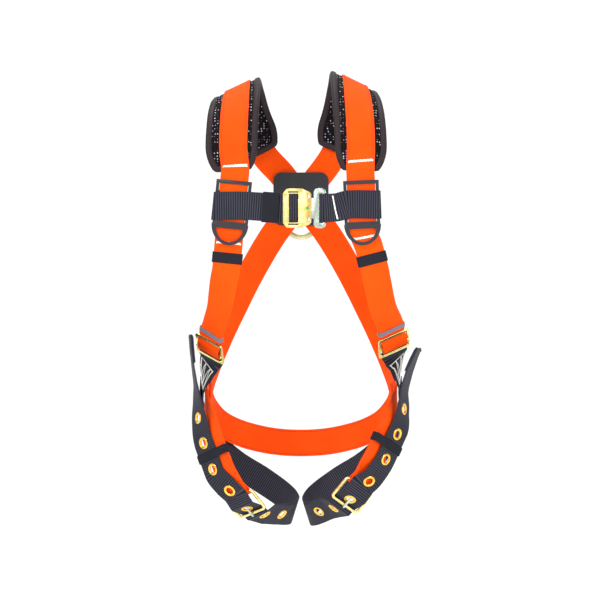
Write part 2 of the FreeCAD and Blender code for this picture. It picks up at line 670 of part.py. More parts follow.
def shoulder_pad(guide_run, shoulder, side_shift):
    """Foam, mesh face and edge binding under the main strap, over the shoulder."""
    run = route([guide_run[1]] + shoulder)
    middle = shifted(run, -(WEB_THICK / 2 + 0.5 + MESH_THICK + FOAM_THICK / 2), side_shift)
    marks = lengths(middle)

    def width_at(distance):
        edge = min(distance, marks[-1] - distance, PAD_TAPER) / PAD_TAPER
        return PAD_TIP_WIDTH + (PAD_WIDTH - PAD_TIP_WIDTH) * math.sqrt(1 - (1 - edge) ** 2)

    widths = [width_at(d) for d in marks]
    inner = [w - 2 * BIND_WIDTH for w in widths]
    core = middle[1:-1]
    core_widths = inner[1:-1]
    whole = ribbon(middle, thick=BIND_THICK, widths=widths)
    hollow = ribbon(core, thick=BIND_THICK + 4, widths=[w + 0.2 for w in core_widths])
    foam = ribbon(shifted(core, -0.2), thick=FOAM_THICK, widths=[w - 0.6 for w in core_widths])
    mesh = ribbon(shifted(core, FOAM_THICK / 2 + MESH_THICK / 2 + 0.05), thick=MESH_THICK,
                  widths=[w - 0.6 for w in core_widths])
    return foam, mesh, whole.cut(hollow)


def dorsal_plate():
    """Back plate under the crossing straps, with two ears that carry the D-ring's bar."""
    plate = Part.makeBox(92, 3, 88, vec(-46, 104.6, DORSAL_Z - 44))
    plate = plate.makeFillet(14, [e for e in plate.Edges if abs(e.tangentAt(e.FirstParameter).y) > 0.99])
    for side in (-1, 1):
        near, far = sorted((side * EAR_IN, side * EAR_OUT))
        ear = block(near, far, 106, RING_BAR_Y, DORSAL_Z - 8, DORSAL_Z + 8)
        cap = Part.makeCylinder(8, far - near, vec(near, RING_BAR_Y, DORSAL_Z), vec(1, 0, 0))
        plate = plate.fuse(ear).fuse(cap)
    bore = rod(vec(-60, RING_BAR_Y, DORSAL_Z), vec(60, RING_BAR_Y, DORSAL_Z), RING_BAR_R + RUNNING_FIT)
    return plate.cut(bore).removeSplitter()


def dorsal_ring():
    """Forged D-ring hanging from its bar; the bow's inner wall is a half cylinder."""
    bar = rod(vec(-EAR_OUT - 1.5, RING_BAR_Y, DORSAL_Z), vec(EAR_OUT + 1.5, RING_BAR_Y, DORSAL_Z),
              RING_BAR_R)
    centre_z = DORSAL_Z - RING_DROP
    front = RING_BAR_Y - RING_THICK / 2
    outer_r = RING_BOW_R + RING_RIM
    disc = Part.makeCylinder(outer_r, RING_THICK, vec(0, front, centre_z), vec(0, 1, 0))
    sides = block(-outer_r, outer_r, front, front + RING_THICK, centre_z, DORSAL_Z)
    hole = Part.makeCylinder(RING_BOW_R, RING_THICK + 2, vec(0, front - 1, centre_z), vec(0, 1, 0))
    gap = block(-RING_BOW_R, RING_BOW_R, front - 1, front + RING_THICK + 1, centre_z, DORSAL_Z)
    bow = disc.fuse(sides).cut(hole).cut(gap)
    return bow.fuse(bar).removeSplitter()


def seat_run():
    half = [
        anchor(-146.5, 4, -106, (0, 0.45, 0.90)),
        anchor(-143, 48, -136, (0.10, 0.45, 0.88)),
        anchor(-118, 91, -166, (0.10, 0.20, 0.97)),
        anchor(-62, 116, -186, (0, 0.08, 0.99)),
    ]
    other = [anchor(-a.point.x, a.point.y, a.point.z, (-a.across.x, a.across.y, a.across.z))
             for a in reversed(half)]
    return route(half + [anchor(0, 121, -192, (0, 0, 1))] + other)


# ---------------------------------------------------------------- nodes

nodes = {}
sides = {
    "r": (adjuster_r, buckle_r, hip_run_r, thigh_run_r, leg_back_r, leg_crotch_r, leg_front_r,
          guide_run_r, keeper_run_r, shoulder_r, -3.0, 1),
    "l": (adjuster_l, buckle_l, hip_run_l, thigh_run_l, leg_back_l, leg_crotch_l, leg_front_l,
          guide_run_l, keeper_run_l, shoulder_l, 0.0, -1),
}
for name, (adjuster, buckle, hip, thigh, back, crotch, front, guide, keeper, shoulder,
           pad_shift, medial) in sides.items():
    main = main_run(name)
    nodes["main_strap_" + name] = ribbon(main)
    foam, mesh, binding = shoulder_pad(guide, shoulder, pad_shift)
    nodes["pad_foam_" + name] = foam
    nodes["pad_mesh_" + name] = mesh
    nodes["pad_binding_" + name] = binding
    nodes["hip_strap_" + name] = ribbon(hip_strap(adjuster, hip))
    nodes["thigh_strap_" + name] = thigh_strap(buckle, thigh)
    strap, eyelets, keeper_spot = leg_strap_and_grommets(buckle, back, crotch, front)
    nodes["leg_strap_" + name] = strap
    nodes["grommets_" + name] = eyelets
    nodes["adjuster_frame_" + name] = adjuster_frame(adjuster)
    nodes["adjuster_bar_" + name] = adjuster_bar(adjuster)
    nodes["leg_buckle_" + name] = leg_buckle(buckle)
    nodes["leg_tongue_" + name] = leg_tongue(buckle)
    nodes["chest_guide_" + name] = chest_guide(guide_place(guide))
    half = WEB_WIDTH / 2 + 0.6
    nodes["strap_keeper_" + name] = placed(band(-half, half, -1.5, 1.5, 1.2, 17), run_place(keeper))
    entry = adjuster.multVec(vec(0, 22, -2.9))
    above = (hip_front_r if name == "r" else hip_front_l)[0]
    tail_spot = pose((entry + above.point) * 0.5, above.across, above.point - entry)
    nodes["tail_band_" + name] = placed(band(-half, half, -5.0, 2.1, 1.1, 8), tail_spot)
    low, high = sorted((medial * (19 + half), -medial * half))
    nodes["leg_keeper_" + name] = placed(band(low, high, -LEG_KEEPER_DEPTH[name], 1.6, 1.2, 14), keeper_spot)

nodes["chest_strap_r"] = chest_strap_r(guide_place(guide_run_r))
nodes["chest_strap_l"] = chest_strap_l(guide_place(guide_run_l))
keeper_y = guide_place(guide_run_r).Base.y - CHEST_LAYER
nodes["chest_keeper"] = placed(band(-half, half, -4.4, 2.1, 1.1, 26),
                               pose(vec(-48, keeper_y, 192.3), vec(-0.068, 0, -1), vec(1, 0, -0.068)))
nodes["buckle_plate"] = buckle_plate()
nodes["buckle_back"] = buckle_back()
nodes["buckle_bar"] = block(-14.5, -8.9, -124, -120, BUCKLE_Z - 22.6, BUCKLE_Z + 22.6)
nodes["buckle_latch_top"] = buckle_latch(1)
nodes["buckle_latch_bottom"] = buckle_latch(-1)
nodes["buckle_spring_top"] = buckle_spring(1)
nodes["buckle_spring_bottom"] = buckle_spring(-1)
nodes["buckle_tab"] = buckle_tab()

# Two rivets through both plates, each with a domed head in front
rivets = []
for side in (-1, 1):
    z = BUCKLE_Z + side * 17.6
    shank = rod(vec(12.6, PLATE_FRONT - 0.01, z), vec(12.6, -115.2, z), 1.2)
    head = Part.makeSphere(2.6, vec(12.6, PLATE_FRONT + 1.4, z))
    head = head.common(block(8, 17, PLATE_FRONT - 3, PLATE_FRONT, z - 4, z + 4))
    rivets.append(head.fuse(shank).removeSplitter())
nodes["buckle_rivets"] = Part.makeCompound(rivets)
dot = Part.makeSphere(2.6, vec(10.2, PLATE_FRONT + 1.4, BUCKLE_Z))
nodes["buckle_indicator"] = dot.common(block(5, 15, PLATE_FRONT - 3, PLATE_FRONT, BUCKLE_Z - 4,
                                             BUCKLE_Z + 4))
nodes["dorsal_plate"] = dorsal_plate()
nodes["dorsal_ring"] = dorsal_ring()
nodes["seat_strap"] = ribbon(seat_run())

os.makedirs("parts", exist_ok=True)
for name, shape in nodes.items():
    shape.exportStep("parts/" + name + ".step")
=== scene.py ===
"""Looks of a full-body safety harness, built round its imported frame.

Routes are worked out in millimetres, in the frame's own axes, and turned to metres when a mesh is made.
The wearer faces -Y and stands along +Z; names end in _r for the wearer's right and _l for the left.
"""
import logging
import math
from dataclasses import dataclass, field, replace
from enum import Enum
from typing import Callable, Iterable, Optional

import bmesh
import bpy
from mathutils import Matrix, Vector, noise


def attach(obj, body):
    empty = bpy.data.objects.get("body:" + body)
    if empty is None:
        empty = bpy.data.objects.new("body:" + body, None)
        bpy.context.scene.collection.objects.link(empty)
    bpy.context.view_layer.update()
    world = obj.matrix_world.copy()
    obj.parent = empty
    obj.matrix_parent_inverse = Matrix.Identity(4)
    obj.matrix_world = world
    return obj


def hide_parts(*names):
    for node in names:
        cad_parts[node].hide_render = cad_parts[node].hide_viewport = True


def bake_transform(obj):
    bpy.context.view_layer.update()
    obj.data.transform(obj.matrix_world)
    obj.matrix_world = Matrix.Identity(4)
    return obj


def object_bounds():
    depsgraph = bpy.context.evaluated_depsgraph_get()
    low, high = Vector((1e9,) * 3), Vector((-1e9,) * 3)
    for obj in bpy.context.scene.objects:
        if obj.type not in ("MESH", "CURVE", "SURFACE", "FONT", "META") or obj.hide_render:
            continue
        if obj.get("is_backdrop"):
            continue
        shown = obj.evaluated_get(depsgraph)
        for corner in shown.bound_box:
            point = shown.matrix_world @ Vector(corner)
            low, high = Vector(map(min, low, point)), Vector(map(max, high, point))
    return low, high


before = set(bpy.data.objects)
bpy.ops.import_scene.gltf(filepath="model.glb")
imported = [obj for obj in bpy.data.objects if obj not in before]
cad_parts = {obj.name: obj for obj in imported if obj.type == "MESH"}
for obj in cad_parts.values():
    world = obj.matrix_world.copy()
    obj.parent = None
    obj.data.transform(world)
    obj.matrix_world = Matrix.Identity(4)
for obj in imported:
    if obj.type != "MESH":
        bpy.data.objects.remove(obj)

LOG = logging.getLogger("harness")
MM = 0.001

# Webbing, in millimetres
WEB_WIDTH = 44.5
WEB_THICK = 2.0
LAYER = 2.6            # pitch of two layers that lie on each other
RIB_PITCH = 3.6        # cross ribs of the black webbing; real ones are 2.3 apart, too fine to show
RIB_RISE = 0.36
WEB_RIPPLE = 0.5       # unevenness of worn webbing
FINE_STEP = 1.8        # spacing of sections along plain webbing
ROUTE_STEP = 4.0
THREAD_OUT = WEB_THICK / 2 + 0.1
HALF_BAND = WEB_WIDTH / 2 + 0.6
THIGH_BESIDE = 19.0    # how far the thigh strap reaches past the leg strap

# Chest assembly
BUCKLE_Z = 191.0
CHEST_LAYER = 4.9
RAIL_OUT = 28.0
RAIL_IN = 23.0
CHEST_Z_R = 195.0
CHEST_Z_L = 197.0

GUIDE_Z = 196.0
BUCKLE_FACE_Y = -127.4
STRAP_BACK_Y = -118.4

# Back
DORSAL_Z = 215.5
DORSAL_Y = 112.0

WHITE = (1.0, 1.0, 1.0, 1.0)

Point = tuple[float, float]


# ---------------------------------------------------------------- lines and routes


@dataclass(frozen=True)
class Section:
    """One place on a strap: its centre and the direction across it.

    straight means that the strap runs straight on to the next one.
    """

    point: Vector
    across: Vector
    straight: bool = False


@dataclass(frozen=True)
class Axes:
    """Unit directions of a strap at one section."""

    across: Vector
    along: Vector
    out: Vector


Run = list[Section]


def anchor(x: float, y: float, z: float, across: tuple[float, float, float],
           straight: bool = False) -> Section:
    """Makes a section that a route passes through.

    Args:
        x: Place along X in millimetres.
        y: Place along Y.
        z: Place along Z.
        across: Direction across the strap, of any length.
        straight: Whether the route is straight up to the next anchor.

    Returns:
        The section.
    """
    return Section(Vector((x, y, z)), Vector(across).normalized(), straight)


def mirrored(run: Run) -> Run:
    """Returns the same route on the body's other side, its outer face still outwards."""
    return [Section(Vector((-s.point.x, s.point.y, s.point.z)),
                    Vector((s.across.x, -s.across.y, -s.across.z)), s.straight) for s in run]


def route(run: Run, step: float) -> Run:
    """Draws a smooth curve through the sections.

    Args:
        run: Sections to pass through.
        step: Longest spacing of the new sections, in millimetres.

    Returns:
        Closely spaced sections.
    """
    points = [s.point for s in run]
    last = len(points) - 1
    tangents = []
    for i in range(last + 1):
        if run[i].straight:
            tangents.append((points[i + 1] - points[i]).normalized())
        elif i > 0 and run[i - 1].straight:
            tangents.append((points[i] - points[i - 1]).normalized())
        else:
            tangents.append((points[min(i + 1, last)] - points[max(i - 1, 0)]).normalized())
    made = []
    for i in range(last):
        chord = (points[i + 1] - points[i]).length
        count = max(1, math.ceil(chord / step))
        for k in range(count):
            t = k / count
            point = (points[i] * (2 * t**3 - 3 * t**2 + 1)
                     + tangents[i] * (chord * (t**3 - 2 * t**2 + t))
                     + points[i + 1] * (3 * t**2 - 2 * t**3)
                     + tangents[i + 1] * (chord * (t**3 - t**2)))
            made.append(Section(point, run[i].across.lerp(run[i + 1].across, t).normalized()))
    made.append(Section(points[last], run[last].across))
    return made


def marks(run: Run) -> list[float]:
    """Returns the distance along the run at each section."""
    total = [0.0]
    for a, b in zip(run, run[1:]):
        total.append(total[-1] + (b.point - a.point).length)
    return total


def evened(run: Run, step: float) -> Run:
    """Spaces sections evenly along a run.

    Args:
        run: Closely spaced sections.
        step: The new spacing, in millimetres, rounded so that it divides the run.

    Returns:
        Evenly spaced sections from the same start to the same end.
    """
    total = marks(run)
    count = max(2, round(total[-1] / step))
    made, i = [], 0
    for k in range(count + 1):
        d = total[-1] * k / count
        while i < len(run) - 2 and total[i + 1] < d:
            i += 1
        t = min(1.0, (d - total[i]) / max(total[i + 1] - total[i], 1e-9))
        made.append(Section(run[i].point.lerp(run[i + 1].point, t),
                            run[i].across.lerp(run[i + 1].across, t).normalized()))
    return made


def axes_at(run: Run, i: int, closed: bool = False) -> Axes:
    """Finds the directions of a run at section i.

    Args:
        run: The sections.
        i: Which one.
        closed: Whether the last section joins the first.

    Returns:
        Its across, along and outward directions.
    """
    last = len(run) - 1
    before = run[i - 1 if i > 0 or closed else 0].point
    after = run[(i + 1) % len(run) if closed else min(i + 1, last)].point
    along = (after - before).normalized()
    across = run[i].across
    across = (across - along * across.dot(along)).normalized()
    return Axes(across, along, across.cross(along))


def shifted(run: Run, out: float, side: float = 0.0) -> Run:
    """Returns the run moved outwards by out and across by side, in millimetres."""
    moved = []
    for i, s in enumerate(run):
        axes = axes_at(run, i)
        moved.append(Section(s.point + axes.out * out + axes.across * side, s.across))
    return moved


def part_of(run: Run, start: float, end: float) -> Run:
    """Returns the sections between two distances along the run, in millimetres."""
    return [s for s, d in zip(run, marks(run)) if start <= d <= end]


def distance_at_height(run: Run, z: float) -> float:
    """Finds where a run first passes a height.

    Args:
        run: Closely spaced sections.
        z: The height in millimetres.

    Returns:
        Distance along the run of the first section on the other side of that height.
    """
    below = run[0].point.z < z
    for s, d in zip(run, marks(run)):
        if (s.point.z < z) != below:
            return d
    return 0.0


def pose(origin: Vector, right: Vector, up: Vector) -> Matrix:
    """Makes a placement for a piece of hardware.

    Args:
        origin: Its centre in millimetres.
        right: Direction of its own x.
        up: Roughly the direction of its own y, up the strap.

    Returns:
        The placement; z points outwards from the body.
    """
    x_axis = right.normalized()
    z_axis = x_axis.cross(up).normalized()
    y_axis = z_axis.cross(x_axis)
    turned = Matrix((x_axis, y_axis, z_axis)).transposed().to_4x4()
    return Matrix.Translation(origin) @ turned


def in_frame(place: Matrix, profile: Iterable[Point]) -> Run:
    """Returns sections of a strap that runs through hardware; profile holds its own (y, z)."""
    across = place.to_3x3() @ Vector((1, 0, 0))
    return [Section(place @ Vector((0, y, z)), across) for y, z in profile]


def turn(y: float, z: float, radius: float, start: float, end: float, steps: int = 6) -> list[Point]:
    """Points round a bar, by angle in degrees from +z towards +y.

    Args:
        y: The bar's centre.
        z: The bar's centre.
        radius: Distance of the strap's middle from it.
        start: First angle.
        end: Last angle.
        steps: How many parts the turn has.

    Returns:
        The (y, z) points.
    """
    angles = [math.radians(start + (end - start) * k / steps) for k in range(steps + 1)]
    return [(y + radius * math.sin(a), z + radius * math.cos(a)) for a in angles]


# ---------------------------------------------------------------- finishes


def linear(colour: str) -> tuple[float, float, float, float]:
    """Turns an sRGB hex colour to linear light, with full opacity."""
    parts = [int(colour[i:i + 2], 16) / 255 for i in (1, 3, 5)]
    light = [c / 12.92 if c <= 0.04045 else ((c + 0.055) / 1.055) ** 2.4 for c in parts]
    return (light[0], light[1], light[2], 1.0)


def add_node(tree: bpy.types.NodeTree, kind: str, settings: Optional[dict] = None,
             inputs: Optional[dict] = None) -> bpy.types.Node:
    """Adds a node with its settings and links.

    Args:
        tree: The tree it goes in.
        kind: Blender's name for the node type.
        settings: Properties to set on it.
        inputs: Values or output sockets for its inputs, by name or number.

    Returns:
        The node.
    """
    node = tree.nodes.new(kind)
    for key, value in (settings or {}).items():
        setattr(node, key, value)
    feed(tree, node, inputs or {})
    return node


def feed(tree: bpy.types.NodeTree, node: bpy.types.Node, inputs: dict) -> None:
    """Gives a node's inputs, by name or number, their values or links them to output sockets."""
    for key, value in inputs.items():
        if isinstance(value, bpy.types.NodeSocket):
            tree.links.new(value, node.inputs[key])
        else:
            node.inputs[key].default_value = value


def bands(pitch: float) -> float:
    """Wave Texture scale whose bands are pitch millimetres apart, on coordinates in metres."""
    return math.pi / 10 / (pitch * MM)


@dataclass(frozen=True)
class Grain:
    """Sizes of a surface's grain and how far the gloss varies about its roughness."""

    size_mm: float
    depth_mm: float
    strength: float
    smoother: float
    rougher: float
    scuff_scale: float = 0.0     # of separate, larger scuffs; 0 where the gloss follows the grain


@dataclass(frozen=True)
class Finish:
    """What all finishes share: the piece's common name, its colour and its gloss."""

    name: str
    colour: str
    roughness: float = 0.6

    def make(self) -> bpy.types.Material:
        """Returns the material: a shader, an output, and what the kind of finish adds to them."""
        material = bpy.data.materials.new(self.name)
        material.use_nodes = True
        tree = material.node_tree
        tree.nodes.clear()
        shader = add_node(tree, "ShaderNodeBsdfPrincipled",
                          inputs={"Base Color": linear(self.colour), "Roughness": self.roughness})
        add_node(tree, "ShaderNodeOutputMaterial", inputs={"Surface": shader.outputs["BSDF"]})
        material.diffuse_color = linear(self.colour)
        place = add_node(tree, "ShaderNodeTexCoord").outputs["Object"]
        feed(tree, shader, self.detail(tree, place))
        return material

    def detail(self, tree: bpy.types.NodeTree, place: bpy.types.NodeSocket) -> dict:
        """Adds the nodes of this kind of finish.

        Args:
            tree: The material's tree.
            place: Object coordinates.

        Returns:
            The shader's inputs by name.
        """
        raise NotImplementedError

    def grained(self, tree: bpy.types.NodeTree, place: bpy.types.NodeSocket, grain: Grain) -> dict:
        """Adds a fine grain, and a gloss that varies about the roughness.

        Args:
            tree: The material's tree.
            place: Object coordinates.
            grain: Its sizes.

        Returns:
            The shader's Roughness and Normal.
        """
        fine = add_node(tree, "ShaderNodeTexNoise",
                        inputs={"Vector": place, "Scale": 1 / (grain.size_mm * MM), "Detail": 2.0})
        scuff = fine
        if grain.scuff_scale:
            scuff = add_node(tree, "ShaderNodeTexNoise",
                             inputs={"Vector": place, "Scale": grain.scuff_scale, "Detail": 4.0})
        gloss = add_node(tree, "ShaderNodeMapRange",
                         inputs={"Value": scuff.outputs["Fac"], "To Min": self.roughness - grain.smoother,
                                 "To Max": self.roughness + grain.rougher})
        bump = add_node(tree, "ShaderNodeBump", inputs={"Height": fine.outputs["Fac"],
                                                        "Strength": grain.strength,
                                                        "Distance": grain.depth_mm * MM})
        return {"Roughness": gloss.outputs["Result"], "Normal": bump.outputs["Normal"]}


@dataclass(frozen=True)
class Webbing(Finish):
    """Woven polyester webbing: warp threads along it, weft across, a soft sheen from the filaments.

    It reads the strap's own UV map, in metres across and along.
    """

    # Painted shade: the colour that the troughs of the weave and the gaps between cross ribs are darkened to.
    groove_shade: str = "#000000"
    # Lighter, lit copy of the colour, a painted highlight: random patches blend the ground towards it, and it
    # tints the sheen.
    lit: str = "#FFFFFF"
    warp_mm: float = 1.5     # real warp ends are 0.8 mm apart: drawn coarser, so that they show
    weft_mm: float = 1.9
    depth_mm: float = 0.16
    sheen: float = 0.3
    # How far the colour drops to painted shade between the cross ribs.
    ribs: float = 0.0        # how far the colour drops between cross ribs

    def detail(self, tree: bpy.types.NodeTree, place: bpy.types.NodeSocket) -> dict:
        """Adds the weave, with painted shade in its troughs, a fibre bump and random patches of a lighter lit
        colour, a painted highlight; see Finish.detail.
        """
        uv = add_node(tree, "ShaderNodeUVMap", {"uv_map": Sweep.UV}).outputs["UV"]
        warp, weft = (add_node(tree, "ShaderNodeTexWave", {"bands_direction": way},
                               {"Vector": uv, "Scale": bands(pitch), "Distortion": 0.0}).outputs["Fac"]
                      for way, pitch in (("X", self.warp_mm), ("Y", self.weft_mm)))
        fibre, patch = (add_node(tree, "ShaderNodeTexNoise",
                                 inputs={"Vector": place, "Scale": scale, "Detail": fine}).outputs["Fac"]
                        for scale, fine in ((1400.0, 2.0), (16.0, 3.0)))
        weave = add_node(tree, "ShaderNodeMath", {"operation": "MULTIPLY"}, {0: warp, 1: weft})
        ground = add_node(tree, "ShaderNodeMix", {"data_type": "RGBA"},
                          {"Factor": patch, 6: linear(self.colour), 7: linear(self.lit)})
        # Painted shade: the colour is darkened towards the groove colour in the troughs between warp and weft
        # threads and between cross ribs.
        shade, crest = (add_node(tree, "ShaderNodeMapRange",
                                 inputs={"Value": value, "From Min": low, "From Max": high,
                                         "To Min": dark, "To Max": 1.0}).outputs["Result"]
                        for value, low, high, dark in ((weave.outputs[0], 0.0, 0.35, 0.55),
                                                       (weft, 0.15, 0.85, 1.0 - self.ribs)))
        painted_shade = add_node(tree, "ShaderNodeMath", {"operation": "MULTIPLY"}, {0: shade, 1: crest})
        colour = add_node(tree, "ShaderNodeMix", {"data_type": "RGBA"},
                          {"Factor": painted_shade.outputs[0], 6: linear(self.groove_shade), 7: ground.outputs[2]})
        height = add_node(tree, "ShaderNodeMath", {"operation": "MULTIPLY_ADD"},
                          {0: fibre, 1: 0.25, 2: weave.outputs[0]})
        bump = add_node(tree, "ShaderNodeBump", inputs={"Height": height.outputs[0], "Strength": 0.7,
                                                        "Distance": self.depth_mm * MM})
        return {"Base Color": colour.outputs[2], "Normal": bump.outputs["Normal"],
                "Specular IOR Level": 0.12, "Sheen Weight": self.sheen, "Sheen Roughness": 0.45,
                "Sheen Tint": linear(self.lit)}


@dataclass(frozen=True)
class SpacerMesh(Finish):
    """Knitted 3-D spacer mesh: pale knots over a black ground, their cells on Object coordinates."""

    thread: str = "#DCD4E6"
    cell_mm: float = 4.4

    def detail(self, tree: bpy.types.NodeTree, place: bpy.types.NodeSocket) -> dict:
        """Adds the knots, some lit and some in shadow; see Finish.detail."""
        cells = add_node(tree, "ShaderNodeTexVoronoi", {"feature": "F1"},
                         {"Vector": place, "Scale": 1 / (self.cell_mm * MM), "Randomness": 0.3})
        lit = add_node(tree, "ShaderNodeTexNoise",
                       inputs={"Vector": place, "Scale": 1 / (self.cell_mm * 2 * MM), "Detail": 1.0})
        spans = ((cells.outputs["Distance"], 0.15, 0.3, 1.0, 0.0),
                 (lit.outputs["Fac"], 0.44, 0.56, 0.05, 1.0))
        ring, bright = (add_node(tree, "ShaderNodeMapRange",
                                 inputs={"Value": value, "From Min": low, "From Max": high,
                                         "To Min": first, "To Max": last}).outputs["Result"]
                        for value, low, high, first, last in spans)
        share = add_node(tree, "ShaderNodeMath", {"operation": "MULTIPLY"}, {0: ring, 1: bright})
        colour = add_node(tree, "ShaderNodeMix", {"data_type": "RGBA"},
                          {"Factor": share.outputs[0], 6: linear(self.colour), 7: linear(self.thread)})
        bump = add_node(tree, "ShaderNodeBump", inputs={"Height": ring, "Strength": 0.9,
                                                        "Distance": 0.6 * MM})
        return {"Base Color": colour.outputs[2], "Normal": bump.outputs["Normal"],
                "Specular IOR Level": 0.1}


@dataclass(frozen=True)
class Plating(Finish):
    """Plated steel: a thin passivated zinc film whose colour drifts between cream, green and pink."""

    tints: tuple[str, ...] = ()
    drift_mm: float = 16.0
    grain_mm: float = 0.6

    def detail(self, tree: bpy.types.NodeTree, place: bpy.types.NodeSocket) -> dict:
        """Adds the drifting film and a fine grain; a metal keeps the default IOR. See Finish.detail."""
        drift = add_node(tree, "ShaderNodeTexNoise",
                         inputs={"Vector": place, "Scale": 1 / (self.drift_mm * MM), "Detail": 3.0,
                                 "Distortion": 0.8})
        film = add_node(tree, "ShaderNodeValToRGB", inputs={"Fac": drift.outputs["Fac"]})
        stops = film.color_ramp.elements
        while len(stops) < len(self.tints):
            stops.new(0.5)
        for i, tint in enumerate(self.tints):
            stops[i].position = 0.32 + 0.36 * i / (len(self.tints) - 1)
            stops[i].color = linear(tint)
        grain = self.grained(tree, place, Grain(self.grain_mm, 0.05, 0.25, 0.07, 0.09))
        return {**grain, "Base Color": film.outputs["Color"], "Metallic": 1.0}


@dataclass(frozen=True)
class Moulding(Finish):
    """Moulded plastic with a spark-eroded grain that breaks up its highlights."""

    grain_mm: float = 0.7
    coat: float = 0.0

    def detail(self, tree: bpy.types.NodeTree, place: bpy.types.NodeSocket) -> dict:
        """Adds the grain and scuffs; see Finish.detail."""
        grain = self.grained(tree, place, Grain(self.grain_mm, 0.04, 0.5, 0.1, 0.12, 90.0))
        return {**grain, "IOR": 1.5, "Coat Weight": self.coat}


class Palette(Enum):
    """The harness's finishes, each with a short name."""

    ORANGE = "webbing_orange"
    BLACK = "webbing_black"
    ELASTIC = "elastic_black"
    GREY = "elastic_grey"
    BINDING = "binding"
    MESH = "spacer_mesh"
    NYLON = "guide_plastic"
    GOLD = "zinc_gold"
    SILVER = "zinc_silver"
    BRIGHT = "steel_bright"
    FORGED = "zinc_forged"
    BRASS = "grommet_brass"
    GREEN = "indicator_green"
    WHITE_THREAD = "thread_white"
    RED_THREAD = "thread_red"
    BLACK_THREAD = "thread_black"

    def material(self) -> bpy.types.Material:
        """Returns this finish's material, made the first time that it is asked for."""
        known = bpy.data.materials.get(FINISHES[self].name)
        return known or FINISHES[self].make()


FINISHES: dict[Palette, Finish] = {
    # Solution-dyed high-visibility polyester: saturated, matt, faintly lit along the filaments
    Palette.ORANGE: Webbing("polyester_webbing_orange", "#FF4400", 0.75, groove_shade="#D42C00", lit="#FF5E00",
                            sheen=0.04),
    # Black polyester with a heavy weft: the bluish light on the cross ribs is a painted highlight colour,
    # with painted shade between the ribs
    Palette.BLACK: Webbing("polyester_webbing_black", "#34343F", 0.55, groove_shade="#0B0B10", lit="#454655",
                           warp_mm=1.5, weft_mm=RIB_PITCH, depth_mm=0.12, sheen=0.06, ribs=0.85),
    # Covered rubber elastic: finer and softer than the webbing
    Palette.ELASTIC: Webbing("woven_elastic_black", "#1B1B22", 0.7, groove_shade="#0D0D11", lit="#272832",
                             warp_mm=1.2, weft_mm=1.1, depth_mm=0.1, sheen=0.05),
    Palette.GREY: Webbing("woven_elastic_grey", "#77727F", 0.7, groove_shade="#4F4A57", lit="#8F8A97",
                          warp_mm=1.2, weft_mm=1.1, depth_mm=0.1, sheen=0.1),
    # Folded polyester tape round the pads: close weave, brownish black, slightly shiny
    Palette.BINDING: Webbing("binding_tape", "#2A2123", 0.5, groove_shade="#151011", lit="#382D30",
                             warp_mm=0.9, weft_mm=0.9, depth_mm=0.06, sheen=0.05),
    # Knitted polyester spacer fabric over the foam
    Palette.MESH: SpacerMesh("knitted_spacer_fabric", "#0B090C", 0.75),
    # Moulded glass-filled nylon of the slides and the back plate
    Palette.NYLON: Moulding("moulded_nylon", "#1B1B22", 0.42),
    # Yellow-passivated zinc on pressed steel
    Palette.GOLD: Plating("yellow_zinc_plate", "#F0D488", 0.26, drift_mm=26.0,
                          tints=("#E2BE66", "#FBE5A0", "#DCDA84", "#F3C598")),
    # Clear-passivated zinc: silvery with a faint green and pink film
    Palette.SILVER: Plating("clear_zinc_plate", "#DADCD8", 0.22,
                            tints=("#A9B8A6", "#D4D6D0", "#A8C2AE", "#C9B4C0"), drift_mm=22.0),
    # Bright turned steel of pins and springs
    Palette.BRIGHT: Plating("bright_steel", "#D8D8D8", 0.16, tints=("#CFCFD2", "#E4E4E6")),
    # Drop-forged alloy steel, zinc plated: duller, with the forging's soft grain
    Palette.FORGED: Plating("forged_zinc_plate", "#D9CFA0", 0.34,
                            tints=("#C9BE8C", "#E2DAB2", "#CDD0A0", "#D8B99C"), grain_mm=1.1),
    # Spun brass eyelets
    Palette.BRASS: Plating("spun_brass", "#F0B53A", 0.24, tints=("#E0A02C", "#FFCE5A", "#EDB440")),
    # Green enamel in the buckle's indicator
    Palette.GREEN: Moulding("green_enamel", "#0F9A44", 0.2, coat=0.6),
    # Bonded polyester sewing threads
    Palette.WHITE_THREAD: Moulding("thread_white", "#FFFDF6", 0.6, grain_mm=0.4),
    Palette.RED_THREAD: Moulding("thread_dark_red", "#8E1E04", 0.6, grain_mm=0.4),
    Palette.BLACK_THREAD: Moulding("thread_black", "#15151A", 0.55, grain_mm=0.4),
}


# ---------------------------------------------------------------- making meshes


def linked(name: str, data: Optional[bpy.types.ID]) -> bpy.types.Object:
    """Returns a new object for the data, at the origin and in the scene."""
    made = bpy.data.objects.new(name, data)
    bpy.context.scene.collection.objects.link(made)
    return made


def to_mesh(bm: bmesh.types.BMesh, name: str) -> bpy.types.Mesh:
    """Returns the BMesh as a mesh, and frees it."""
    mesh = bpy.data.meshes.new(name)
    bm.to_mesh(mesh)
    bm.free()
    return mesh


def joined(name: str, *parts: bpy.types.Mesh) -> bpy.types.Mesh:
    """Returns one mesh with all the parts in it."""
    bm = bmesh.new()
    for part in parts:
        bm.from_mesh(part)
    return to_mesh(bm, name)


def evaluated(rough: bpy.types.Object) -> bpy.types.Mesh:
    """Returns what an object's modifiers make of it, as a plain mesh."""
    bpy.context.view_layer.update()
    return bpy.data.meshes.new_from_object(rough.evaluated_get(bpy.context.evaluated_depsgraph_get()))


def applied(rough: bpy.types.Object, name: str) -> bpy.types.Mesh:
    """Turns an object with modifiers into a plain mesh and removes the object.

    Args:
        rough: The object, at the origin.
        name: The mesh's name.

    Returns:
        The finished mesh.
    """
    mesh = evaluated(rough)
    mesh.name = name
    rough.modifiers.clear()
    bpy.data.objects.remove(rough)
    return mesh


@dataclass(frozen=True)
class Bend:
    """Two bodies that a piece lies between and two points along it; new_piece only fixes such a piece in
    place.
    """

    first: str
    second: str
    start: tuple[float, float, float]
    end: tuple[float, float, float]


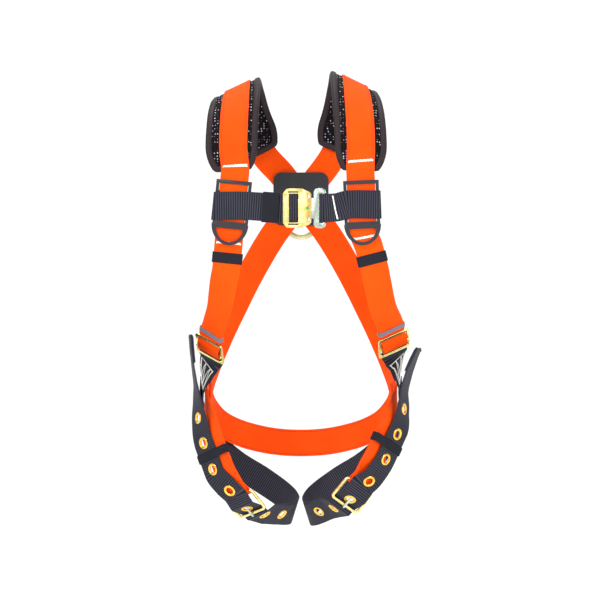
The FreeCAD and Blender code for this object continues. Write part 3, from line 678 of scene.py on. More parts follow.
def new_piece(name: str, mesh: bpy.types.Mesh, finish: Palette, body: str | Bend,
              *nodes: str) -> bpy.types.Object:
    """Puts a finished mesh in the scene.

    Args:
        name: The piece's name.
        mesh: Its mesh, in place and in metres.
        finish: What it is made of.
        body: The body that it moves with, or a Bend between two bodies, for which the piece is only fixed in
            place.
        nodes: The CAD nodes that it replaces.

    Returns:
        The object.
    """
    piece = linked(name, mesh)
    mesh.materials.clear()
    mesh.materials.append(finish.material())
    if isinstance(body, Bend):
        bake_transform(piece)
    else:
        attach(piece, body)
    if nodes:
        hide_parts(*nodes)
    LOG.info("%s: %d faces on %s", name, len(mesh.polygons), body)
    return piece


def strap_ring(width: float, thick: float, across: int = 10) -> list[Point]:
    """Corners of a flat strap's section, once round, with rounded selvages.

    Args:
        width: Across the strap, in millimetres.
        thick: Through it.
        across: How many parts each face has.

    Returns:
        The (across, out) corners.
    """
    r = thick / 2
    flat = width / 2 - r
    corner = [math.radians(a) for a in (36, 72, 108, 144)]
    ring = [(flat * (1 - 2 * k / across), r) for k in range(across + 1)]
    ring += [(-flat - r * math.sin(a), r * math.cos(a)) for a in corner]
    ring += [(flat * (2 * k / across - 1), -r) for k in range(across + 1)]
    ring += [(flat + r * math.sin(a), -r * math.cos(a)) for a in corner]
    return ring


def oval_ring(width: float, thick: float, square: float = 1.0, count: int = 16) -> list[Point]:
    """Corners of an oval section, once round; square under 1 fills out its corners."""
    ring = []
    for k in range(count):
        a = 2 * math.pi * k / count
        x, z = math.cos(a), math.sin(a)
        ring.append((math.copysign(abs(x) ** square, x) * width / 2,
                     math.copysign(abs(z) ** square, z) * thick / 2))
    return ring


@dataclass
class Sweep:
    """A section drawn along a run: all webbing, tape, bars and rings."""

    run: Run
    ring: list[Point]
    step: float = FINE_STEP
    closed: bool = False
    rib_pitch: float = 0.0
    ripple: float = 0.0
    taper: Callable[[float], Point] = field(default=lambda share: (1.0, 1.0))

    UV = "strap"
    RIB_STEPS = 4
    SELVAGE = 0.5        # corners nearer the middle plane than this stay level between ribs
    RIPPLE_SCALE = 0.02

    def sections(self) -> Run:
        """Returns evenly spaced sections along a smooth curve through the run."""
        step = self.rib_pitch / self.RIB_STEPS if self.rib_pitch else self.step
        loop = self.run + [self.run[0]] if self.closed else self.run
        even = evened(route(loop, max(step / 2, 0.4)), step)
        return even[:-1] if self.closed else even

    def mesh(self, name: str) -> bpy.types.Mesh:
        """Builds the mesh.

        Args:
            name: The mesh's name.

        Returns:
            A closed mesh in metres, with its distances across and along in the UV map.
        """
        run = self.sections()
        distance = marks(run)
        bm = bmesh.new()
        rows = []
        for i, s in enumerate(run):
            axes = axes_at(run, i, self.closed)
            wide, high = self.taper(distance[i] / distance[-1])
            swell = 0.0
            if self.rib_pitch:
                swell = RIB_RISE * (abs(math.sin(math.pi * distance[i] / self.rib_pitch)) - 0.5)
            lift = self.ripple * noise.noise(s.point * self.RIPPLE_SCALE) if self.ripple else 0.0
            row = []
            for x, z in self.ring:
                rise = z * high + math.copysign(swell, z) if abs(z) > self.SELVAGE else z * high
                row.append(bm.verts.new((s.point + axes.across * (x * wide)
                                         + axes.out * (rise + lift)) * MM))
            rows.append(row)
        uv = bm.loops.layers.uv.new(self.UV)
        size = len(self.ring)
        spans = len(run) if self.closed else len(run) - 1
        for i in range(spans):
            j = (i + 1) % len(run)
            far = distance[i + 1] if i + 1 < len(run) else distance[-1] + self.step
            for k in range(size):
                m = (k + 1) % size
                face = bm.faces.new((rows[i][k], rows[i][m], rows[j][m], rows[j][k]))
                face.smooth = True
                corners = ((k, distance[i]), (m, distance[i]), (m, far), (k, far))
                for loop, (c, d) in zip(face.loops, corners):
                    loop[uv].uv = (self.ring[c][0] * MM, d * MM)
        if not self.closed:
            for row in (rows[0], rows[-1]):
                cap = bm.faces.new(row)
                for loop, (x, z) in zip(cap.loops, self.ring):
                    loop[uv].uv = (x * MM, z * MM)
        bmesh.ops.recalc_face_normals(bm, faces=bm.faces)
        return to_mesh(bm, name)

    def piece(self, name: str, finish: Palette, body: str | Bend, *nodes: str) -> bpy.types.Object:
        """Builds the mesh and puts it in the scene; see new_piece."""
        return new_piece(name, self.mesh(name), finish, body, *nodes)


def ribbed(run: Run) -> Sweep:
    """Returns black webbing along a run, with its cross ribs."""
    return Sweep(run, strap_ring(WEB_WIDTH, WEB_THICK), rib_pitch=RIB_PITCH)


def smooth_web(run: Run, ripple: float = 0.0) -> Sweep:
    """Returns orange webbing along a run, rippling by so many millimetres."""
    return Sweep(run, strap_ring(WEB_WIDTH, WEB_THICK), ripple=ripple)


def refined(node: str, name: str, finish: Palette, body: str, bevel: float) -> None:
    """Gives a CAD node the broken edges of the real pressing, moulding or casting.

    Args:
        node: The CAD node, which the piece replaces.
        name: The new piece's name.
        finish: What it is made of.
        body: The body that it moves with.
        bevel: Width of the rounded edges, in millimetres.
    """
    bm = bmesh.new()
    bm.from_mesh(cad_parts[node].data)
    bmesh.ops.remove_doubles(bm, verts=bm.verts, dist=0.002 * MM)
    bmesh.ops.dissolve_limit(bm, angle_limit=math.radians(1.0), verts=bm.verts, edges=bm.edges)
    rough = linked(name + "_rough", to_mesh(bm, name))
    edge = rough.modifiers.new("edges", "BEVEL")
    edge.width = bevel * MM
    edge.segments = 3
    edge.limit_method = "ANGLE"
    edge.angle_limit = math.radians(35)
    finished = applied(rough, name)
    for face in finished.polygons:
        face.use_smooth = True
    finished.set_sharp_from_angle(angle=math.radians(38))
    new_piece(name, finished, finish, body, node)


FLOAT_SOCKET = "NodeSocketFloat"
MATERIAL_SOCKET = "NodeSocketMaterial"
FACING = "facing"


@dataclass
class Pattern:
    """A Geometry Nodes tree and the values of its named inputs."""

    tree: bpy.types.NodeTree
    sockets: dict[str, str]

    def laid(self, name: str, points: bpy.types.Mesh, values: dict) -> bpy.types.Mesh:
        """Runs the tree on a mesh of points or lines.

        Args:
            name: The result's name.
            points: What the pattern follows.
            values: The tree's inputs by name.

        Returns:
            The real mesh, instances and all.
        """
        rough = linked(name + "_rough", points)
        modifier = rough.modifiers.new("pattern", "NODES")
        modifier.node_group = self.tree
        for key, value in values.items():
            modifier[self.sockets[key]] = value
        return applied(rough, name)


@dataclass
class PatternTree:
    """A Geometry Nodes tree while it is built."""

    name: str
    inputs: dict[str, tuple[str, Optional[float]]]    # socket type and default of each named input

    def __post_init__(self) -> None:
        """Makes the tree, its sockets and its input node."""
        self.tree = bpy.data.node_groups.new(self.name, "GeometryNodeTree")
        for way in ("INPUT", "OUTPUT"):
            self.tree.interface.new_socket(name="Geometry", in_out=way, socket_type="NodeSocketGeometry")
        self.sockets = {}
        for key, (kind, default) in {**self.inputs, "Material": (MATERIAL_SOCKET, None)}.items():
            socket = self.tree.interface.new_socket(name=key, in_out="INPUT", socket_type=kind)
            if default is not None:
                socket.default_value = default
            self.sockets[key] = socket.identifier
        self.given = self.add("NodeGroupInput").outputs

    def add(self, kind: str, settings: Optional[dict] = None, **inputs) -> bpy.types.Node:
        """Adds a node; see add_node. An input named _0 is input 0, and _ stands for a space."""
        named = {int(key[1:]) if key[0] == "_" else key.replace("_", " "): value
                 for key, value in inputs.items()}
        return add_node(self.tree, kind, settings, named)

    def math(self, operation: str, first, second) -> bpy.types.NodeSocket:
        """Returns the result of a sum on two sockets or values."""
        return self.add("ShaderNodeMath", {"operation": operation}, _0=first, _1=second).outputs[0]

    def facing(self, instance: bpy.types.NodeSocket) -> bpy.types.NodeSocket:
        """Puts an instance on each point, its own z along the point's facing attribute."""
        lie = self.add("GeometryNodeInputNamedAttribute", {"data_type": "FLOAT_VECTOR"}, Name=FACING)
        turned = self.add("FunctionNodeAlignRotationToVector", {"axis": "Z"},
                          Vector=lie.outputs["Attribute"])
        spots = self.add("GeometryNodeMeshToPoints", Mesh=self.given["Geometry"])
        return self.add("GeometryNodeInstanceOnPoints", Points=spots.outputs[0], Instance=instance,
                        Rotation=turned.outputs[0]).outputs[0]

    def finish(self, instances: bpy.types.NodeSocket) -> Pattern:
        """Ends the tree: smooth shading, then real meshes, then the material.

        Args:
            instances: What the tree has laid.

        Returns:
            The pattern.
        """
        smooth = self.add("GeometryNodeSetShadeSmooth", _0=instances)
        real = self.add("GeometryNodeRealizeInstances", Geometry=smooth.outputs[0])
        dressed = self.add("GeometryNodeSetMaterial", Geometry=real.outputs[0],
                           Material=self.given["Material"])
        self.add("NodeGroupOutput", Geometry=dressed.outputs[0])
        return Pattern(self.tree, self.sockets)


def stitch_pattern() -> Pattern:
    """Makes the sewing pattern: one short thread bead per stitch along each line."""
    made = PatternTree("stitches", {
        "Spacing": (FLOAT_SOCKET, 0.004), "Stitch Length": (FLOAT_SOCKET, 0.003),
        "Thread Radius": (FLOAT_SOCKET, 0.0004)})
    radius = made.given["Thread Radius"]
    curve = made.add("GeometryNodeMeshToCurve", Mesh=made.given["Geometry"])
    spots = made.add("GeometryNodeCurveToPoints", {"mode": "LENGTH"}, Curve=curve.outputs[0],
                     Length=made.given["Spacing"])
    size = made.add("ShaderNodeCombineXYZ", X=radius, Y=radius,
                    Z=made.math("MULTIPLY", made.given["Stitch Length"], 0.5))
    bead = made.add("GeometryNodeMeshUVSphere", Segments=6, Rings=5, Radius=1.0)
    stitch = made.add("GeometryNodeTransform", Geometry=bead.outputs["Mesh"], Scale=size.outputs[0])
    vary = made.add("FunctionNodeRandomValue", {"data_type": "FLOAT_VECTOR"},
                    Min=(0.92, 0.92, 0.9), Max=(1.08, 1.08, 1.06), Seed=7)
    laid = made.add("GeometryNodeInstanceOnPoints", Points=spots.outputs["Points"],
                    Instance=stitch.outputs[0], Rotation=spots.outputs["Rotation"], Scale=vary.outputs[0])
    return made.finish(laid.outputs[0])


def eyelet_pattern() -> Pattern:
    """Makes the grommet pattern: a rolled ring at each point, facing along the point's own direction."""
    made = PatternTree("eyelets", {"Hole Radius": (FLOAT_SOCKET, 0.0055), "Rim Radius": (FLOAT_SOCKET, 0.01),
                                   "Lip Height": (FLOAT_SOCKET, 0.0018)})
    rim, hole = made.given["Rim Radius"], made.given["Hole Radius"]
    middle = made.math("MULTIPLY", made.math("ADD", rim, hole), 0.5)
    roll = made.math("MULTIPLY", made.math("SUBTRACT", rim, hole), 0.5)
    path, wall = (made.add("GeometryNodeCurvePrimitiveCircle", Resolution=count, Radius=radius)
                  for count, radius in ((40, middle), (14, roll)))
    ring = made.add("GeometryNodeCurveToMesh", Curve=path.outputs[0], Profile_Curve=wall.outputs[0])
    squeeze = made.add("ShaderNodeCombineXYZ", X=1.0, Y=1.0,
                       Z=made.math("DIVIDE", made.given["Lip Height"], roll))
    eyelet = made.add("GeometryNodeTransform", Geometry=ring.outputs[0], Scale=squeeze.outputs[0])
    return made.finish(made.facing(eyelet.outputs[0]))


def dome_pattern() -> Pattern:
    """Makes the rivet pattern: a domed head on a thin collar at each point."""
    made = PatternTree("rivet_heads", {"Head Radius": (FLOAT_SOCKET, 0.0025),
                                       "Head Height": (FLOAT_SOCKET, 0.0012)})
    radius, height = made.given["Head Radius"], made.given["Head Height"]
    ball = made.add("GeometryNodeMeshUVSphere", Segments=20, Rings=12, Radius=1.0)
    size = made.add("ShaderNodeCombineXYZ", X=radius, Y=radius, Z=height)
    head = made.add("GeometryNodeTransform", Geometry=ball.outputs["Mesh"], Scale=size.outputs[0])
    collar = made.add("GeometryNodeMeshCylinder", Vertices=20, Radius=made.math("MULTIPLY", radius, 1.25),
                      Depth=made.math("MULTIPLY", height, 0.3))
    both = made.add("GeometryNodeJoinGeometry", Geometry=head.outputs[0])
    made.tree.links.new(collar.outputs["Mesh"], both.inputs["Geometry"])
    return made.finish(made.facing(both.outputs[0]))


def facing_points(name: str, spots: Iterable[Matrix]) -> bpy.types.Mesh:
    """Makes the point mesh that eyelets and rivets are laid on.

    Args:
        name: The mesh's name.
        spots: A placement for each, z outwards.

    Returns:
        Points in metres with their facing attribute.
    """
    spots = list(spots)
    mesh = bpy.data.meshes.new(name + "_points")
    mesh.from_pydata([spot.translation * MM for spot in spots], [], [])
    facing = mesh.attributes.new(FACING, "FLOAT_VECTOR", "POINT")
    for i, spot in enumerate(spots):
        facing.data[i].vector = spot.to_3x3() @ Vector((0, 0, 1))
    return mesh


@dataclass
class SewingBox:
    """All stitched lines, kept by body and thread until they are sewn."""

    pattern: Pattern
    lines: dict[tuple[str, Palette], list[list[Vector]]] = field(default_factory=dict)

    LENGTH = 3.0
    GAP = 0.9
    RADIUS = 0.5
    WHITE_RADIUS = 0.72      # thicker than real thread, which would be too fine to show
    WHITE_GAP = -0.9         # stitches of the tacks run into each other

    def row(self, body: str, thread: Palette, points: list[Vector]) -> None:
        """Adds one line of stitches, its points in millimetres."""
        self.lines.setdefault((body, thread), []).append(points)

    def along(self, body: str, thread: Palette, run: Run, side: float, out: float) -> None:
        """Adds a line along a run, side across it and out from its middle, in millimetres."""
        self.row(body, thread, [s.point for s in shifted(run, out, side)])

    def block(self, body: str, thread: Palette, run: Run, at: float, outline: list[Point],
              out: float = WEB_THICK / 2 + 0.12) -> None:
        """Adds a tack drawn on the strap's face.

        Args:
            body: The strap's body.
            thread: Its thread.
            run: The strap's sections.
            at: Distance along the run of the tack's own origin, in millimetres.
            outline: (across, along) points of the tack's line.
            out: How far in front of the strap's middle it lies.
        """
        total = marks(run)
        line = []
        for (x0, v0), (x1, v1) in zip(outline, outline[1:]):
            steps = max(1, round(math.dist((x0, v0), (x1, v1)) / 2))
            for k in range(steps):
                t = k / steps
                line.append((x0 + (x1 - x0) * t, v0 + (v1 - v0) * t))
        line.append(outline[-1])
        points = []
        for x, v in line:
            d = min(max(at + v, 0.0), total[-1] - 0.01)
            i = max(k for k in range(len(total) - 1) if total[k] <= d)
            axes = axes_at(run, i)
            here = run[i].point.lerp(run[i + 1].point, (d - total[i]) / (total[i + 1] - total[i]))
            points.append(here + axes.across * x + axes.out * out)
        self.row(body, thread, points)

    def mesh(self, name: str, thread: Palette, lines: list[list[Vector]]) -> bpy.types.Mesh:
        """Makes the stitches of some lines.

        Args:
            name: The mesh's name.
            thread: Their thread.
            lines: Points of each line, in millimetres.

        Returns:
            The stitches' mesh.
        """
        points, edges = [], []
        for line in lines:
            edges += [(len(points) + i, len(points) + i + 1) for i in range(len(line) - 1)]
            points += [p * MM for p in line]
        path = bpy.data.meshes.new("seam")
        path.from_pydata(points, edges, [])
        white = thread is Palette.WHITE_THREAD
        radius, gap = (self.WHITE_RADIUS, self.WHITE_GAP) if white else (self.RADIUS, self.GAP)
        return self.pattern.laid(name, path, {
            "Spacing": (self.LENGTH + gap) * MM, "Stitch Length": self.LENGTH * MM,
            "Thread Radius": radius * MM, "Material": thread.material()})

    def sew(self) -> None:
        """Makes one mesh of stitches for each body and thread."""
        for (body, thread), lines in self.lines.items():
            name = f"stitches_{thread.value.split('_')[1]}_{body}"
            new_piece(name, self.mesh(name, thread, lines), thread, body)


def zigzag(half: float, rise: float, turns: int) -> list[Point]:
    """Corners of a bar-tack: a tight zigzag across the strap from -half to half."""
    return [(-half + 2 * half * k / turns, rise * (1 if k % 2 else -1)) for k in range(turns + 1)]


# ---------------------------------------------------------------- sides of the body


@dataclass(frozen=True)
class Side:
    """Everything that differs between the wearer's right and left."""

    name: str
    medial: int
    adjuster: Matrix
    buckle: Matrix
    hip_front: Run
    keeper_run: Run
    guide_run: Run
    shoulder: Run
    crossing: Run
    hip: Run
    thigh: Run
    leg_back: Run
    leg_crotch: Run
    leg_front: Run
    pad_shift: float
    bar_tack_z: float
    loop_tack_z: float
    keeper_depth: float
    bar_tack_lean: float     # rise of a tack's line for each millimetre across the strap
    loop_tack_lean: float

    def named(self, piece: str) -> str:
        """Returns the piece's name on this side."""
        return f"{piece}_{self.name}"

    def guide_place(self) -> Matrix:
        """Returns the chest guide's placement on the main strap."""
        low, high = self.guide_run[0].point, self.guide_run[1].point
        share = (GUIDE_Z - low.z) / (high.z - low.z)
        return pose(low.lerp(high, share), self.guide_run[0].across, high - low)


CROSSING_R = [
    anchor(-31, DORSAL_Y, 255, (0.787, 0, 0.617), True),
    anchor(31, DORSAL_Y, 176, (0.787, 0, 0.617)),
    anchor(72, 106, 112, (0.80, -0.12, 0.58)),
    anchor(108, 95, 40, (0.78, -0.32, 0.52)),
    anchor(134, 72, -25, (0.60, -0.60, 0.50)),
    anchor(147, 38, -78, (0.25, -0.80, 0.50)),
    anchor(149.5, 12, -112, (0, -0.87, 0.49)),
]
LEG_BACK_R = [
    anchor(-162.6, -4, -90, (0, 0.80, 0.60)),
    anchor(-162, 26, -128, (0.01, 0.78, 0.62)),
    anchor(-148, 70, -178, (0.25, 0.62, 0.74)),
    anchor(-112, 103, -222, (0.45, 0.25, 0.85)),
    anchor(-64, 104, -253, (0.48, -0.05, 0.87)),
    anchor(-27, 78, -277, (0.40, -0.20, 0.90)),
    anchor(-11, 38, -291, (0.28, -0.12, 0.95)),
]
# The left strap crosses under the right one, one layer closer to the back
CROSSING_L = [replace(s, point=s.point - Vector((0, LAYER if i < 2 else 0, 0)))
              for i, s in enumerate(mirrored(CROSSING_R))]

RIGHT = Side(
    name="r", medial=1,
    adjuster=pose(Vector((-146, -45, -31)), Vector((0.757, -0.510, -0.407)), Vector((-0.073, -0.684, 0.724))),
    buckle=pose(Vector((-87.2, -97, -275)), Vector((0.757, -0.537, 0.350)), Vector((-0.571, -0.310, 0.760))),
    hip_front=[
        anchor(-141.5, -70, -1, (0.72, -0.53, -0.45)),
        anchor(-130, -93, 31, (0.82, -0.42, -0.30)),
        anchor(-121, -106, 80, (0.97, -0.12, -0.14)),
    ],
    keeper_run=[
        anchor(-117.5, -109.5, 97, (0.99, 0, -0.10), True),
        anchor(-114.5, -111, 129, (0.99, 0, -0.10)),
    ],
    guide_run=[
        anchor(-112, -114.5, 160, (0.995, 0, -0.10), True),
        anchor(-103.6, -118.2, 246, (0.995, 0, -0.10)),
    ],
    shoulder=[
        anchor(-106.5, -114, 285, (1, 0, 0)),
        anchor(-106, -100, 325, (0.99, 0, 0.12)),
        anchor(-104.5, -72, 361, (0.96, 0, 0.26)),
        anchor(-103, -34, 385, (0.92, 0, 0.38)),
        anchor(-102, 10, 394, (0.894, 0, 0.447)),
        anchor(-98, 53, 381, (0.89, 0.05, 0.45)),
        anchor(-86, 85, 342, (0.87, 0.10, 0.50)),
        anchor(-62, 104, 290, (0.83, 0.06, 0.55)),
    ],
    crossing=CROSSING_R,
    hip=[
        anchor(-159.8, 12, -118, (0, -0.83, -0.54)),
        anchor(-159.2, -2, -92, (0.08, -0.82, -0.55)),
        anchor(-153, -19, -64, (0.48, -0.72, -0.50)),
    ],
    thigh=[
        anchor(-122.2, -113.9, -216.1, (0.66, -0.68, 0.33), True),
        anchor(-137.9, -106.9, -173.1, (0.66, -0.68, 0.33)),
        anchor(-147, -80, -145, (0.42, -0.78, 0.45)),
        anchor(-152, -42, -124, (0.12, -0.62, 0.78)),
        anchor(-153.5, -2, -108, (0, -0.45, 0.89)),
    ],
    leg_back=LEG_BACK_R,
    leg_crotch=[
        anchor(-12, 2, -296, (0.30, -0.10, 0.95)),
        anchor(-26.7, -29, -297, (0.50, -0.35, 0.79)),
        anchor(-51, -62, -294, (0.48, -0.45, 0.75)),
    ],
    leg_front=[
        anchor(-118, -111.5, -247, (0.72, -0.57, 0.40)),
        anchor(-137.6, -104, -223, (0.66, -0.68, 0.33), True),
        anchor(-153.3, -97, -180, (0.66, -0.68, 0.33)),
        anchor(-162.7, -78, -140, (0.50, -0.85, 0.10)),
        anchor(-166, -68, -112, (0.30, -0.95, 0)),
        anchor(-168.5, -62, -86, (0.15, -0.98, 0.05)),
        anchor(-173.5, -58, -50, (0.11, -0.99, 0)),
        anchor(-177, -56, -10, (0.11, -0.99, 0)),
    ],
    pad_shift=-3.0, bar_tack_z=256.0, loop_tack_z=134.0, keeper_depth=7.2,
    bar_tack_lean=0.0, loop_tack_lean=0.0,
)
LEFT = Side(
    name="l", medial=-1,
    adjuster=pose(Vector((148.7, -45, -22.8)), Vector((0.870, 0.316, 0.379)),
                  Vector((-0.056, -0.698, 0.714))),
    buckle=pose(Vector((80.2, -97, -261.4)), Vector((0.737, 0.375, -0.561)), Vector((0.632, -0.095, 0.767))),
    hip_front=[
        anchor(143, -70, 6, (0.86, 0.33, 0.40)),
        anchor(130, -93, 33, (0.93, 0.20, 0.32)),
        anchor(119.5, -105, 78, (0.96, 0.05, 0.28)),
    ],
    keeper_run=[
        anchor(116, -108, 95, (0.968, 0, 0.25), True),
        anchor(107.5, -111, 128, (0.968, 0, 0.25)),
    ],
    guide_run=[
        anchor(97, -114.8, 160, (1, 0, 0.04), True),
        anchor(93.3, -118.2, 246, (1, 0, 0.04)),
    ],
    shoulder=[
        anchor(94.3, -114, 285, (1, 0, 0)),
        anchor(93.5, -100, 326, (0.99, 0, -0.12)),
        anchor(91, -72, 364, (0.96, 0, -0.26)),
        anchor(88.5, -34, 391, (0.92, 0, -0.38)),
        anchor(86.5, 10, 403, (0.894, 0, -0.447)),
        anchor(84, 53, 388, (0.89, -0.05, -0.45)),
        anchor(75, 85, 347, (0.87, -0.10, -0.50)),
        anchor(56, 102, 292, (0.83, -0.06, -0.55)),
    ],
    crossing=CROSSING_L,
    hip=[
        anchor(159.8, 12, -114, (0, 0.84, 0.54)),
        anchor(159.4, -2, -86, (0.06, 0.86, 0.50)),
        anchor(156, -18, -57, (0.42, 0.77, 0.45)),
    ],
    thigh=[
        anchor(120.5, -109.4, -189.8, (0.62, 0.70, -0.36), True),
        anchor(139.3, -100.4, -149.5, (0.62, 0.70, -0.36)),
        anchor(149, -72, -128, (0.42, 0.78, -0.45)),
        anchor(152.2, -38, -117, (0.08, 0.62, -0.78)),
        anchor(153.5, -2, -104, (0, 0.45, -0.89)),
    ],
    leg_back=mirrored(LEG_BACK_R),
    leg_crotch=[
        anchor(10, 5, -298, (0.30, 0.10, -0.95)),
        anchor(20.4, -24, -296, (0.50, 0.35, -0.79)),
        anchor(43, -58, -285, (0.50, 0.42, -0.75)),
    ],
    leg_front=[
        anchor(113.6, -106.7, -232.9, (0.70, 0.62, -0.36)),
        anchor(136.8, -100.7, -197.7, (0.62, 0.70, -0.36), True),
        anchor(155.6, -91.7, -157.4, (0.62, 0.70, -0.36)),
        anchor(163.2, -77, -126, (0.40, 0.90, -0.05)),
        anchor(165, -68, -97, (0.30, 0.95, 0)),
        anchor(171, -62, -74, (0.30, 0.95, 0)),
        anchor(180, -58, -50, (0.25, 0.97, 0)),
        anchor(188, -56, -32, (0.20, 0.98, 0)),
    ],
    pad_shift=0.0, bar_tack_z=262.0, loop_tack_z=144.0, keeper_depth=9.8,
    bar_tack_lean=0.12, loop_tack_lean=-0.2,
)


# ---------------------------------------------------------------- webbing


@dataclass
class MainStrap:
    """Orange strap: tail, friction bar, front, shoulder, crossing and the opposite hip in one run."""

    side: Side
    sewing: SewingBox
    tail_length: float = 52.0
    bar_y: float = -6.5          # the friction bar's middle, in the adjuster's own frame
    loop_z: float = 0.8
    loop_r: float = 3.4
    edge_seam: float = WEB_WIDTH / 2 - 3.6

    def front(self) -> Run:
        """Returns the run from the adjuster's top bar over the shoulder to the far hip."""
        entry = in_frame(self.side.adjuster, [(22, -2.9)])[0]
        s = self.side
        return route([entry] + s.hip_front + s.keeper_run + s.guide_run + s.shoulder + s.crossing, ROUTE_STEP)

    def build(self) -> None:
        """Builds the strap and marks its seams."""
        bar_y, loop_z, loop_r = self.bar_y, self.loop_z, self.loop_r
        front = self.front()
        tail = shifted(part_of(front, 0, self.tail_length), -LAYER)[::-1]
        bend = in_frame(self.side.adjuster, [(16, -5.5), (10, -4.2), (4.3, loop_z - loop_r)]
                        + turn(bar_y, loop_z, loop_r, -180, 0, 8)
                        + [(5.5, loop_z + loop_r), (9, 2.6), (12.5, -0.6), (15.5, -2.9)])
        smooth_web(tail[:-1] + bend + front, WEB_RIPPLE).piece(
            self.side.named("main_webbing"), Palette.ORANGE, "harness", self.side.named("main_strap"))
        self.stitch(front)

    def stitch(self, front: Run) -> None:
        """Sews the strap to its pad and puts in the bar-tacks.

        Args:
            front: The strap's run from the adjuster up.
        """
        total = marks(front)
        top = distance_at_height(front, self.side.bar_tack_z)
        end = next(d for s, d in zip(front, total) if d > top and s.point.y > 95)
        padded = part_of(front, top, end)
        for side in (-self.edge_seam, self.edge_seam):
            self.sewing.along("harness", Palette.RED_THREAD, padded, side, THREAD_OUT)
        loop = distance_at_height(front, self.side.loop_tack_z)
        for at, tilt in ((top, self.side.bar_tack_lean), (loop, self.side.loop_tack_lean)):
            for step in (-1.1, 0.0, 1.1):
                tack = [(x, v + step + tilt * x) for x, v in zigzag(WEB_WIDTH / 2 - 4, 0.4, 14)]
                self.sewing.block("harness", Palette.WHITE_THREAD, front, at, tack)


@dataclass
class ShoulderPad:
    """Foam pad under the strap: a crowned mesh-covered core and a bound edge."""

    side: Side
    sewing: SewingBox
    width: float = 82.0
    tip_width: float = 28.0
    taper: float = 45.0
    thick: float = 7.4
    binding: float = 10.6
    binding_thick: float = 8.6
    voxel: float = 3.4
    pressure: float = 4.0
    cap: float = 1.5
    frames: int = 20
    depth: float = 5.6          # of its middle below the strap's
    seam_inset: float = 0.55    # share of the binding that the core reaches under

    def middle(self) -> Run:
        """Returns the pad's own middle line under the strap."""
        over = route([self.side.guide_run[1]] + self.side.shoulder, 5.0)
        return shifted(over, -self.depth, self.side.pad_shift)

    def half_at(self, distance: float, length: float) -> float:
        """Returns half the pad's width at a distance along it, in millimetres."""
        edge = min(distance, length - distance, self.taper) / self.taper
        return (self.tip_width + (self.width - self.tip_width) * math.sqrt(1 - (1 - edge) ** 2)) / 2

    def build(self) -> None:
        """Builds the core and its binding."""
        middle = self.middle()
        total = marks(middle)
        self.build_core(middle, total)
        self.build_binding(middle, total)

    def build_core(self, middle: Run, total: list[float]) -> None:
        """Builds the core, swollen by simulation so that it crowns between its seams.

        Args:
            middle: The pad's middle line.
            total: Distances along it.
        """
        name = self.side.named("pad_cover")
        margin = self.binding * self.seam_inset
        kept = [i for i, d in enumerate(total) if margin <= d <= total[-1] - margin]
        length = total[-1]
        run = [middle[i] for i in kept]

        def widths(share: float) -> Point:
            d = total[kept[0]] + share * (total[kept[-1]] - total[kept[0]])
            return (self.half_at(d, length) - margin) / (self.width / 2 - margin), 1.0

        ring = oval_ring(self.width - 2 * margin, self.thick - 1.6, square=0.45, count=48)
        mesh = Sweep(run, ring, step=4.0, taper=widths).mesh(name)
        rough = linked(name + "_rough", mesh)
        self.inflate(rough, run)
        smooth = rough.modifiers.new("smooth", "SUBSURF")
        smooth.levels = smooth.render_levels = 1
        finished = applied(rough, name)
        for face in finished.polygons:
            face.use_smooth = True
        core = new_piece(name, finished, Palette.MESH, "harness")
        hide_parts(self.side.named("pad_foam"), self.side.named("pad_mesh"))

    def inflate(self, rough: bpy.types.Object, run: Run) -> None:
        """Swells the core with cloth pressure, no further than the cap and never into the strap.

        Args:
            rough: The core's object, whose mesh is replaced.
            run: The core's middle line.
        """
        remesh = rough.modifiers.new("voxels", "REMESH")
        remesh.mode = "VOXEL"
        remesh.voxel_size = self.voxel * MM
        cloth = rough.modifiers.new("cloth", "CLOTH")
        cloth.settings.use_pressure = True
        cloth.settings.uniform_pressure_force = self.pressure
        cloth.settings.effector_weights.gravity = 0.0
        cloth.settings.mass = 0.3
        cloth.point_cache.frame_start = 1
        cloth.point_cache.frame_end = self.frames
        scene = bpy.context.scene
        cloth.show_viewport = False
        rest = evaluated(rough)
        cloth.show_viewport = True
        for number in range(1, self.frames + 1):
            scene.frame_set(number)
        swollen = evaluated(rough)
        rough.modifiers.clear()
        scene.frame_set(1)
        under = WEB_THICK / 2 + 0.35
        for old, new in zip(rest.vertices, swollen.vertices):
            move = new.co - old.co
            if move.length > self.cap * MM:
                move = move.normalized() * (self.cap * MM)
            place = (old.co + move) / MM
            i = min(range(len(run)), key=lambda k: (run[k].point - place).length_squared)
            axes = axes_at(run, i)
            off = place - run[i].point
            over = off.dot(axes.out) - (self.depth - under)
            beside = abs(off.dot(axes.across) + self.side.pad_shift)
            if over > 0 and beside < WEB_WIDTH / 2 + 1.0:
                place -= axes.out * over
            old.co = place * MM
        rough.data = rest

    def build_binding(self, middle: Run, total: list[float]) -> None:
        """Builds the folded tape round the edge and its seam.

        Args:
            middle: The pad's middle line.
            total: Distances along it.
        """
        inset = self.binding / 2
        length = total[-1]
        edges: dict[int, Run] = {}
        for sign in (-1, 1):
            edge = []
            for i, d in enumerate(total):
                if inset <= d <= length - inset:
                    axes = axes_at(middle, i)
                    half = self.half_at(d, length) - inset
                    edge.append(Section(middle[i].point + axes.across * (sign * half), axes.out))
            edges[sign] = edge
        loop = edges[1] + edges[-1][::-1]
        tape = Sweep(loop, oval_ring(self.binding_thick, self.binding, square=0.7), step=3.0, closed=True)
        tape.piece(self.side.named("pad_tape"), Palette.BINDING, "harness", self.side.named("pad_binding"))
        for face in (-1, 1):
            for edge in (edges[1], edges[-1]):
                line = [s.point + s.across * (face * (self.binding_thick / 2 - 0.1)) for s in edge]
                self.sewing.row("harness", Palette.BLACK_THREAD, line)


